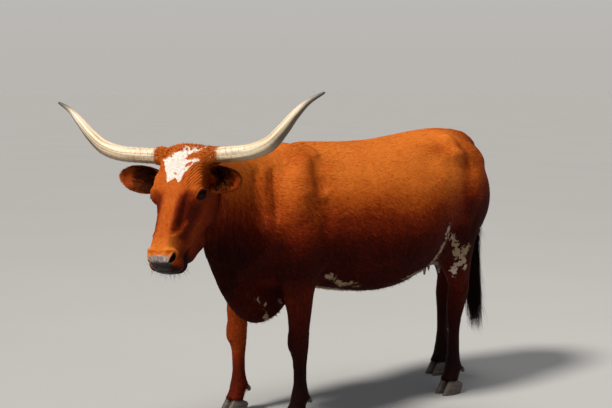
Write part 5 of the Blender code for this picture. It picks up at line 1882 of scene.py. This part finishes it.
# %% Where tufts grow
skin.data.calc_loop_triangles()
triangles = np.empty(len(skin.data.loop_triangles) * 3, np.int32)
skin.data.loop_triangles.foreach_get("vertices", triangles)
triangles = triangles.reshape(-1, 3)
skin_tree = BVHTree.FromPolygons(skin_points.tolist(), triangles.tolist())
corners = skin_points[triangles]
areas = np.linalg.norm(np.cross(corners[:, 1] - corners[:, 0], corners[:, 2] - corners[:, 0]), axis=1) / 2
print("skin:", len(triangles), "triangles,", round(areas.sum(), 2), "square metres")


def grow(chosen, count, seed, weight=None):
    """Even spots on the chosen triangles, with what the skin knows there."""
    draw = np.random.default_rng(seed)
    share = areas * chosen * (1 if weight is None else weight)
    total = np.cumsum(share)
    at = (np.arange(count) + draw.uniform(0, 1, count)) / count * total[-1]
    face = np.minimum(np.searchsorted(total, at), len(areas) - 1)
    a, b = np.sqrt(draw.uniform(0, 1, count)), draw.uniform(0, 1, count)
    mix = np.column_stack([1 - a, a * (1 - b), a * b])
    corner = triangles[face]

    def read(values):
        found = values[corner]
        return (found * (mix[..., None] if found.ndim == 3 else mix)).sum(1)

    known = (("white_edge", skin_white), ("mottle", skin_mottle), ("shade", skin_shade), ("dark", skin_dark))
    numbers = {name: read(values) for name, values in known}
    return read(skin_points), unit_rows(read(skin_normals)), skin_parts[corner[:, 0]], numbers, draw


# %% [markdown]
# The lie of the hair is what makes a coat look groomed by the cow and not by a machine. It runs back and down
# over the trunk, down the legs and tail, away from a whorl between the eyes on the face, and out along the
# ears. Slow swirls turn it a little everywhere, and more behind the shoulder, where hers is ruffled.

# %% The lie of the hair
def lie_of_hair(points, normals, parts):
    h, own = to_head(points), points + MIDDLE
    x, y, z = own.T
    way = np.tile((0.92, 0.0, -0.42), (len(points), 1))
    way[:, 2] -= 0.55 * fade(0.7, 1.05, z)
    neck = is_part(parts, "neck")
    way[neck] = (0.6, 0.05, -0.8)
    legs = is_part(parts, *LEGS)
    way[legs] = (0.14, 0.0, -1.0)
    way[is_part(parts, "tail", "udder")] = (0.02, 0.0, -1.0)
    swirl = 0.2 * np.sin(6.1 * x + 3.7 * z + 1.0) + 0.08 * np.sin(13.0 * z - 9.0 * x + 5 * y)
    ruffled = np.exp(-(((x + 0.36) / 0.14) ** 2 + ((z - 1.02) / 0.13) ** 2))
    swirl += ruffled * 0.7 * np.sin(24 * x + 31 * z)
    swirl = np.where(legs, 0.25 * swirl, swirl)
    head = is_part(parts, "head")
    facing = rise(-0.1, -0.02, h[:, 2])[:, None]
    from_whorl = np.column_stack([(h[:, 0] - 0.205) * 1.0, h[:, 1] * 0.8, np.zeros(len(h))])
    from_whorl /= np.maximum(np.linalg.norm(from_whorl, axis=1), 1e-4)[:, None]
    cheek = np.array((-0.3, 0.0, -0.95))
    face = from_whorl * facing + cheek * (1 - facing)
    way = np.where(head[:, None], face @ HEAD_AXES.T, way)
    swirl = np.where(head, 0.2 * np.sin(55 * h[:, 0] + 40 * h[:, 1]), swirl)
    for side, name in ((1, "ear_left"), (-1, "ear_right")):
        root, along, _, across = ear_axes(side)
        spread_out = ((h - root) @ across)[:, None] * across * 6
        way = np.where(is_part(parts, name)[:, None], (along + spread_out) @ HEAD_AXES.T, way)
    way -= normals * (way * normals).sum(1)[:, None]
    size = np.linalg.norm(way, axis=1)[:, None]
    spare = np.cross(normals, (0.0, 1.0, 0.0))
    way = np.where(size > 1e-3, way / np.maximum(size, 1e-6), spare)
    aside = np.cross(normals, way)
    return way * np.cos(swirl)[:, None] + aside * np.sin(swirl)[:, None]


highest = int(skin_points[:, 2].argmax())
print(
    "lie at the highest point:",
    lie_of_hair(skin_points[[highest]], skin_normals[[highest]], skin_parts[[highest]]).round(2)[0],
)

# %% [markdown]
# Each tuft also needs a place in a flat map, the UV map named OFBake. Its root is unrolled about the length
# of its part, like a label off a tin, and the tuft gets a small patch there.

# %% Where each tuft's patch lies on the unwrapped skin
def along_side(values):
    low, high = values.min(), values.max()
    return 0.01 + 0.98 * (values - low) / max(high - low, 1e-6)


def share_round(a, b):
    return np.arctan2(a, b) / (2 * math.pi) + 0.5


def unwrap(points, parts):
    """Each part of the body unrolled about its own length, on a square of its own."""
    h, own = to_head(points), points + MIDDLE
    x, y, z = own.T
    uv = np.column_stack([0.01 + 0.98 * share_round(y, z - 0.93), along_side(x)])
    head = is_part(parts, "head")
    if head.any():
        uv[head] = np.column_stack(
            [0.01 + 0.98 * share_round(h[head, 1], h[head, 2] + 0.12), along_side(h[head, 0])],
        )
    for index, ((end, side), foot_x) in enumerate(FOOT_X.items()):
        foot_y = FOOT_Y[end] * side
        own_leg = is_part(parts, f"{end}_leg_{'left' if side == LEFT else 'right'}")
        if own_leg.any():
            angle = share_round(y[own_leg] - foot_y, x[own_leg] - foot_x)
            uv[own_leg] = np.column_stack([(index + 0.02 + 0.96 * angle) / 4, along_side(z[own_leg])])
    for index, (side, name) in enumerate(((1, "ear_left"), (-1, "ear_right"))):
        own_ear = is_part(parts, name)
        if own_ear.any():
            root, along, opens, across = ear_axes(side)
            local = h[own_ear] - root
            angle = share_round(local @ across, local @ opens - 0.01)
            uv[own_ear] = np.column_stack([(index + 0.02 + 0.96 * angle) / 2, along_side(local @ along)])
    tail = is_part(parts, "tail")
    if tail.any():
        uv[tail] = np.column_stack([0.01 + 0.98 * share_round(y[tail], x[tail] - 0.7), along_side(z[tail])])
    return uv


skin_map = unwrap(skin_points, skin_parts)
print("the map runs from", skin_map.min().round(3), "to", skin_map.max().round(3))

# %% [markdown]
# The coat is laid in eight pieces, so that none grows too heavy to handle. Tufts are longest on the trunk and
# the tail and shortest on the face. Each follows the skin at every ring, so that it can't sink into a fold.

# %% Lay the short coat, part by part
triangle_parts = skin_parts[triangles[:, 0]]
open_skin = fade(0.15, 0.5, skin_bare[triangles].max(1))
centre_x = corners.mean(1)[:, 0] + MIDDLE[0]
trunk = is_part(triangle_parts, "torso")
COATS = [
    ("coat_shoulder", trunk & (centre_x < -0.2), 17500, 0.022, 0.003, 0.0005, 0.0004),
    ("coat_ribs", trunk & (centre_x >= -0.2) & (centre_x < 0.18), 17500, 0.023, 0.003, 0.0005, 0.0004),
    ("coat_rump", trunk & (centre_x >= 0.18), 17500, 0.022, 0.003, 0.0005, 0.0004),
    ("coat_neck", is_part(triangle_parts, "neck"), 12500, 0.02, 0.0029, 0.0006, 0.0008),
    ("coat_legs", is_part(triangle_parts, *LEGS), 15500, 0.013, 0.0024, 0.0005, 0.0005),
    ("coat_head", is_part(triangle_parts, "head"), 18500, 0.0105, 0.0016, 0.0004, 0.0002),
    ("coat_ears", is_part(triangle_parts, "ear_left", "ear_right"), 4500, 0.0105, 0.0018, 0.0005, 0.0006),
    ("coat_tail", is_part(triangle_parts, "tail"), 2500, 0.024, 0.003, 0.0009, 0.0018),
]


def size_share(points, parts):
    """Hair is shortest round the muzzle and eyes and toward the feet."""
    h, own = to_head(points), points + MIDDLE
    share = np.ones(len(points))
    head = is_part(parts, "head")
    muzzle = 1 - 0.55 * rise(0.36, 0.5, h[:, 0])
    eyes = 1 - 0.5 * near_eyes(h, 0.006, 0.02)
    share = np.where(head, muzzle * eyes, share)
    legs = is_part(parts, *LEGS)
    share = np.where(legs, 0.75 + 0.5 * rise(0.2, 0.7, own[:, 2]), share)
    return share


def lay_coat(name, chosen, count, length, width, thick, lift, seed):
    root, normal, parts, numbers, draw = grow(chosen * open_skin, count, seed)
    share = size_share(root, parts) * draw.uniform(0.75, 1.25, count)
    way = lie_of_hair(root, normal, parts)
    numbers["tone"] = draw.normal(0, 0.085, count)
    lift = lift * draw.uniform(0.4, 1.6, count)
    piece = hair_mesh(
        name, COAT_FINISH, root, normal, way, parts, numbers, length * share, width * np.sqrt(share),
        thick * np.sqrt(share), lift=lift, on_skin=True, sink=0.0004, lean=0.6,
    )
    return count


tufts = sum(lay_coat(*row, seed=11 + number) for number, row in enumerate(COATS))
print("short coat:", tufts, "tufts")

# %% [markdown]
# ## Longer hair
# Some hair stands out from the coat: the curly crown between the horns, the fringe where each horn emerges,
# the dark tufts inside the ears and their pale rims, the brush on the tail, and the hair that hangs over the
# hooves. These are the same ridges with more rings, so that they can curl and droop.

# %% Crown curls and horn fringes
def loose_numbers(count, shade, dark, tone):
    """What the hide's colours need to know of hair that has no white in it."""
    numbers = {"white_edge": -1.0, "mottle": 0.0, "shade": shade, "dark": dark, "tone": tone}
    return {label: np.full(count, values) for label, values in numbers.items()}


def crown_weight(points):
    h = to_head(points)
    u, v, w = h.T
    crown = fade(0.055, 0.095, u) * rise(-0.13, -0.06, w) * (np.abs(v) < 0.15)
    white_part = rise(0.0, 0.01, inside_outline(h[:, :2], BLAZE)) * (u > 0.05)
    return crown * (1 - 0.8 * white_part)


CURLS = 3400


def lay_curls():
    middles = corners.mean(1)
    chosen = is_part(triangle_parts, "head") * crown_weight(middles)
    count = CURLS
    root, normal, parts, numbers, draw = grow(chosen, count, 41)
    out = np.column_stack([np.full(count, -0.55), to_head(root)[:, 1] * 5.0, np.full(count, 0.25)])
    way = (out + draw.normal(0, 0.3, (count, 3))) @ HEAD_AXES.T
    way = unit_rows(way - normal * ((way * normal).sum(1) + 0.05)[:, None])
    length = draw.uniform(0.016, 0.028, count)
    numbers["tone"] = draw.normal(0.02, 0.17, count)
    numbers["shade"] = numbers["shade"] - 0.06
    piece = hair_mesh(
        "crown_curls", CURL_FINISH, root, normal, way, parts, numbers, length, 0.003, 0.0013,
        lift=draw.uniform(0.001, 0.0035, count), rings=5,
        bend=(
            draw.uniform(0.0016, 0.0038, count), draw.uniform(0.8, 1.6, count),
            draw.uniform(0, 6.28, count),
        ),
    )


CURL_FINISH = coat_material("curly crown", 0.58)
lay_curls()


FRINGES = {1: (1450, 0.138, -0.058), -1: (950, 0.11, -0.045)}


def horn_fringe(side):
    """Hair that lies out over the root of the horn."""
    count, out, back = FRINGES[side]
    draw = np.random.default_rng(50 + side)
    turn = draw.uniform(0, 2 * math.pi, count)
    start = np.array((0.047, out * side, -0.034))
    ahead = np.array((-0.06, side, 0.0))
    ahead /= np.linalg.norm(ahead)
    across = np.cross(ahead, (0, 0, 1.0))
    above = np.cross(across, ahead)
    normal = across * np.cos(turn)[:, None] + above * np.sin(turn)[:, None]
    root = start + normal * (HORN_RADIUS + 0.001) + ahead * draw.uniform(back, 0.004, count)[:, None]
    way = ahead - normal * draw.uniform(-0.06, 0.04, count)[:, None] + draw.normal(0, 0.1, (count, 3))
    # The fringe's lower side, under the horn root, is painted dark: a painted shade.
    under = fade(-0.8, 0.1, np.sin(turn))
    return (from_head(root), normal @ HEAD_AXES.T, unit_rows(way @ HEAD_AXES.T), under), draw


def lay_fringes():
    (near, draw), (far, _) = horn_fringe(1), horn_fringe(-1)
    root, normal, way, under = (np.concatenate(pair) for pair in zip(near, far))
    count = len(root)
    # Darker where the fringe lies under the horn: painted shade.
    numbers = loose_numbers(count, 0.14 + 0.5 * under, 0.6 * under, draw.normal(0.03, 0.17, count))
    parts = np.full(count, PARTS.index("head"))
    length = draw.uniform(0.013, 0.026, count)
    piece = hair_mesh(
        "horn_fringes", CURL_FINISH, root, normal, way, parts, numbers, length, 0.0027, 0.001,
        lift=draw.uniform(0.0, 0.002, count), rings=4,
        bend=(draw.uniform(0.001, 0.0026, count), 1.1, draw.uniform(0, 6.28, count)),
    )


lay_fringes()

# %% [markdown]
# A cow's ear is full of long dark hair. Her near one has red among it, and the far one little, a painted
# shade; the rim and tip carry a short pale fringe. The ear's own sheet says where each hair starts, so the
# hair fits the cup however it is bent.

# %% Hair of the ears
EAR_WALL = 0.0058


def lay_ear_hair():
    rows = []
    for side, name in ((1, "ear_left"), (-1, "ear_right")):
        _, along, opens, _ = ear_axes(side)
        draw = np.random.default_rng(60 + side)
        for kind, count in (("inside", 520), ("rim", 620), ("tip", 170)):
            if kind == "inside":
                t, a = draw.uniform(0.1, 0.72, count), draw.uniform(-0.86, 0.86, count)
            elif kind == "tip":
                t, a = draw.uniform(0.93, 0.998, count), draw.uniform(-0.95, 0.95, count)
            else:
                t = draw.uniform(0.16, 0.985, count)
                a = np.where(draw.uniform(0, 1, count) < 0.5, -0.985, 0.985)
            place = ear_sheet(side, t, a, EAR_WALL if kind == "inside" else 0.002)
            middle = ear_sheet(side, t, np.zeros(count), EAR_WALL) + opens * 0.02
            toward = unit_rows(middle - place)
            if kind == "inside":
                way = along * 0.75 + toward * 0.35 + opens * 0.45 + draw.normal(0, 0.22, (count, 3))
                length = draw.uniform(0.02, 0.042, count)
            else:
                way = along * 0.8 + toward * 0.35 + opens * 0.25 + draw.normal(0, 0.2, (count, 3))
                length = draw.uniform(0.009, 0.018, count)
            # The far ear's hair has less red than the near one's, a painted shade.
            red_share = (0.45 if side == 1 else 0.12) * (t > 0.35)
            deep = np.where(draw.uniform(0, 1, count) < red_share, 0.25, draw.uniform(0.75, 1.0, count))
            dark = deep if kind == "inside" else draw.uniform(0.0, 0.3, count)
            parts = np.full(count, PARTS.index(name))
            rows.append(
                (from_head(place), toward @ HEAD_AXES.T, unit_rows(way) @ HEAD_AXES.T, length, dark, parts),
            )
    root, normal, way, length, dark, parts = (np.concatenate(column) for column in zip(*rows))
    draw, count = np.random.default_rng(66), len(root)
    numbers = loose_numbers(count, 0.24, dark, draw.normal(0, 0.06, count))
    piece = hair_mesh(
        "ear_hair", CURL_FINISH, root, normal, way, parts, numbers, length, 0.0021, 0.001, rings=4,
        bend=(draw.uniform(0.0005, 0.0022, count), 0.8, draw.uniform(0, 6.28, count)),
    )


lay_ear_hair()

# %% [markdown]
# Coarser hair hangs over the hooves, behind the fetlocks and along the brisket and belly, where it breaks the
# outline. A few stiff whiskers stand on the lips and chin.

# %% Hair of the feet and belly, and whiskers
def lay_hanging(name, chosen, count, lengths, way, lift, seed):
    root, normal, parts, numbers, draw = grow(chosen, count, seed)
    way = np.array(way, float) + normal * 0.25 + draw.normal(0, 0.12, (count, 3))
    way = unit_rows(way - normal * ((way * normal).sum(1) * 0.85)[:, None])
    numbers["tone"] = draw.normal(0.02, 0.06, count)
    length = draw.uniform(*lengths, count)
    piece = hair_mesh(
        name, COAT_FINISH, root, normal, way, parts, numbers, length, 0.0022, 0.0009,
        lift=lift * draw.uniform(0.3, 1.4, count), droop=0.15 * length, rings=3,
        bend=(draw.uniform(0.0004, 0.0016, count), 0.7, draw.uniform(0, 6.28, count)),
    )


middles, facing = corners.mean(1), skin_normals[triangles[:, 0]]
on_leg = is_part(triangle_parts, *LEGS)
over_hooves = on_leg * (middles[:, 2] < 0.088)
behind_fetlock = on_leg * (middles[:, 2] > 0.085) * (middles[:, 2] < 0.155) * (facing[:, 0] > 0.55)
under = is_part(triangle_parts, "torso", "neck") * (facing[:, 2] < -0.45) * (middles[:, 2] < 0.85)
for row in (
    ("hoof_fringes", over_hooves, 1500, (0.012, 0.021), (-0.35, 0.0, -1.0), 0.002, 91),
    ("fetlock_hair", behind_fetlock, 420, (0.018, 0.032), (0.35, 0.0, -1.0), 0.004, 92),
    ("belly_hair", under, 2000, (0.014, 0.026), (0.7, 0.0, -0.7), 0.002, 93),
):
    lay_hanging(*row)


def lay_whiskers():
    u, _, w = to_head(middles).T
    muzzle = is_part(triangle_parts, "head") * (u > 0.44) * (w < -0.06) * (w > -0.21)
    count = 110
    root, normal, parts, numbers, draw = grow(muzzle, count, 94)
    way = unit_rows(normal + HEAD_AXES[:, 0] * 0.5 + draw.normal(0, 0.25, (count, 3)))
    up = unit_rows(np.cross(way, np.cross(normal, way) + draw.normal(0, 0.05, (count, 3))))
    numbers |= {"dark": np.full(count, 0.8), "tone": np.zeros(count)}
    length = draw.uniform(0.012, 0.034, count)
    piece = hair_mesh(
        "whiskers", CURL_FINISH, root, up, way, parts, numbers, length, 0.0007, 0.0006,
        droop=0.25 * length, rings=3,
    )


lay_whiskers()

# %% [markdown]
# Lashes are long and stiff on the upper lid and few on the lower. They start along the almond's edge, just
# outside the eyeball, and lean outward.

# %% Lashes
def lay_lashes():
    rows = []
    for side in (1, -1):
        centre, axes = eye_axes(side)
        draw = np.random.default_rng(70 + side)
        count = 64
        x = np.linspace(-0.92, 0.92, count) * LID_HALF_LENGTH
        lower = draw.uniform(0, 1, count) < 0.25
        half = LID_HALF_HEIGHT * (1 - (x / LID_HALF_LENGTH) ** 2) ** 0.65 + 0.0016
        y = np.where(lower, side * half, -side * half)
        z = np.sqrt(np.maximum(EYE_RADIUS**2 - x * x - y * y, 0)) + 0.0022
        place = np.column_stack([x, y, np.maximum(z, 0.012)])
        way = np.column_stack([x * 18, np.sign(y) * 0.35, np.full(count, 0.9)])
        way = unit_rows(way + draw.normal(0, 0.12, (count, 3)))
        up = np.column_stack([np.zeros(count), np.sign(y), np.zeros(count)])
        length = np.where(lower, 0.007, 0.015) * draw.uniform(0.8, 1.2, count)
        place, up, way = place @ axes.T + centre, up @ axes.T, way @ axes.T
        rows.append((from_head(place), up @ HEAD_AXES.T, way @ HEAD_AXES.T, length))
    root, normal, way, length = (np.concatenate(column) for column in zip(*rows))
    count = len(root)
    parts = np.full(count, PARTS.index("head"))
    numbers = loose_numbers(count, 0.9, 0.95, 0.0)
    piece = hair_mesh(
        "lashes", CURL_FINISH, root, normal, way, parts, numbers, length, 0.001, 0.0007,
        lift=length * 0.25, rings=3,
    )


lay_lashes()

# %% [markdown]
# ## The tail's brush
# The tail ends in a long black brush that falls to below the hock, with a few locks blown back from it. It is
# built from the root of each lock: many thin strands start round the tail bone, swell out a little and hang.

# %% The tail's brush
STRANDS = 2300


def lay_brush():
    draw = np.random.default_rng(80)
    count = STRANDS
    height = 0.5 + 0.42 * draw.uniform(0, 1, count) ** 1.1
    around = draw.uniform(0, 2 * math.pi, count)
    out = np.column_stack([np.cos(around), np.sin(around), np.zeros(count)])
    thin = np.interp(height, [0.47, 0.54, 0.62, 0.7, 0.92], [0.004, 0.008, 0.011, 0.014, 0.018])
    root = np.column_stack([np.full(count, TAIL_X), np.zeros(count), height]) + out * thin[:, None]
    reach = np.interp(height, [0.5, 0.62, 0.74, 0.92], [0.26, 0.31, 0.28, 0.14])
    reach *= draw.uniform(0.75, 1.12, count)
    spread_out = np.interp(height, [0.5, 0.62, 0.74, 0.92], [0.046, 0.034, 0.016, 0.004])
    spread_out *= draw.uniform(0.2, 1.1, count)
    rows = []
    steps = np.linspace(0, 1, 9)
    curl = draw.uniform(0.001, 0.006, count)
    phase = draw.uniform(0, 6.28, count)
    sway = draw.normal(0, 0.012, count)
    side = np.column_stack([-np.sin(around), np.cos(around), np.zeros(count)])
    for t in steps:
        away = spread_out * (1 - (1 - t) ** 2.0) * (1 - 0.45 * t * t)
        place = root + out * away[:, None] + side * (sway * t * t + curl * np.sin(7 * t + phase) * t)[:, None]
        place = place + np.column_stack(
            [np.full(count, 0.03 * t * t), np.full(count, -0.004 * t), -reach * t**1.08],
        )
        rows.append(place)
    blown = draw.uniform(0, 1, count) < 0.03
    for k, t in enumerate(steps):
        rows[k][blown] += (0.038 * t**2, 0.0, 0.012 * np.sin(5 * t))
    points, width = [], draw.uniform(0.0022, 0.0042, count)
    for k, t in enumerate(steps[:-1]):
        slim = (1 - t**2.4) * (0.55 + 0.45 * math.sin(math.pi * min(1.0, t * 1.5 + 0.1)))
        half, thick = (width / 2 * slim)[:, None], (width * 0.45 * slim)[:, None]
        points += [rows[k] - side * half, rows[k] + side * half, rows[k] + out * thick]
    points.append(rows[-1])
    each, rings = 25, 8
    pattern = ridge_faces(rings)
    faces = (np.array(pattern)[None] + (np.arange(count) * each)[:, None, None]).reshape(-1, 3)
    data = mesh_from("tail_brush", np.stack(points, 1).reshape(-1, 3) - MIDDLE, faces)
    shade, dark = draw.uniform(0.75, 1.0, count), draw.normal(0.88, 0.08, count)
    dark = np.clip(dark - 0.35 * rise(0.84, 0.92, height), 0, 1)
    for label, values in loose_numbers(count, shade, dark, 0.0).items():
        keep_number(data, label, np.repeat(values, each))
    spots = np.column_stack([0.01 + 0.98 * around / (2 * math.pi), 0.01 + 0.98 * (height - 0.5) / 0.42])
    add_bake_map(data, spots, rings, faces, each)
    data.shade_smooth()
    piece = link("tail_brush", data)
    piece.data.materials.append(BRUSH_FINISH)
    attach(piece, "root")
    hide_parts("tail_switch")
    print("tail_brush:", len(faces), "triangles")


BRUSH_FINISH = coat_material("black brush", 0.46)
lay_brush()

# %% [markdown]
# ## Floor and light
# The part is shown on a plain pale floor. The main light comes from high in front of her. It is a sun lamp,
# so it falls alike on head and rump, and its wide angle of twelve degrees gives the shadows soft edges. A
# disk overhead lights the back, a weak one from the camera's side keeps the shadows readable, and the world
# is pale at the floor's level and dims upward, so that the floor has no hard far edge.

# %% Floor and lights
def add_floor():
    turn = 2 * math.pi * np.arange(96) / 96
    data = bpy.data.meshes.new("floor")
    data.from_pydata([(90 * math.cos(a), 90 * math.sin(a), -0.0005) for a in turn], [], [list(range(96))])
    floor = link("floor", data)
    material, tree, shader = new_material("pale floor")
    tone = ramp(
        tree, noise(tree, own_place(tree), 0.7, 2), [(0.3, (0.405, 0.4, 0.39)), (0.7, (0.415, 0.41, 0.4))],
    )
    tree.links.new(tone, shader.inputs["Base Color"])
    shader.inputs["Roughness"].default_value = 1.0
    shader.inputs["Specular IOR Level"].default_value = 0.0
    data.materials.append(material)


def add_light(name, place, target, size, watts, colour):
    lamp = bpy.data.lights.new(name, "AREA")
    lamp.shape = "DISK"
    lamp.size = size
    lamp.energy = watts
    lamp.color = colour
    made = bpy.data.objects.new(name, lamp)
    made.location = place
    made.rotation_euler = (Vector(target) - Vector(place)).to_track_quat("-Z", "Y").to_euler()
    bpy.context.scene.collection.objects.link(made)


def add_sky():
    """Pale at the level of the floor and dimmer above, so that the floor has no hard far edge."""
    world = bpy.data.worlds.new("studio")
    world.use_nodes = True
    tree = world.node_tree
    parts = node(tree, "ShaderNodeSeparateXYZ")
    tree.links.new(node(tree, "ShaderNodeTexCoord").outputs["Generated"], parts.inputs[0])
    tone = ramp(
        tree, parts.outputs[2],
        [
            (0.0, (0.485, 0.464, 0.437)), (0.08, (0.5, 0.492, 0.475)), (0.35, (0.2, 0.21, 0.23)),
            (1.0, (0.18, 0.19, 0.21)),
        ],
    )
    tree.links.new(tone, tree.nodes["Background"].inputs[0])
    bpy.context.scene.world = world


def add_key():
    lamp = bpy.data.lights.new("key", "SUN")
    lamp.energy = 3.9
    lamp.angle = math.radians(12)
    lamp.color = (1.0, 0.955, 0.89)
    made = bpy.data.objects.new("key", lamp)
    made.rotation_euler = Vector((0.62, 0.05, -0.78)).to_track_quat("-Z", "Y").to_euler()
    bpy.context.scene.collection.objects.link(made)


add_floor()
add_sky()
add_key()
add_light("overhead", (0.9, -0.2, 6.0), (0.2, 0.0, 0.9), 2.4, 90, (1.0, 0.97, 0.93))
add_light("fill", (-4.6, -4.6, 2.4), (-0.4, 0.0, 0.8), 3.0, 24, (0.97, 0.98, 1.0))
bpy.context.scene.view_settings.view_transform = "Standard"
print("floor and lights set")
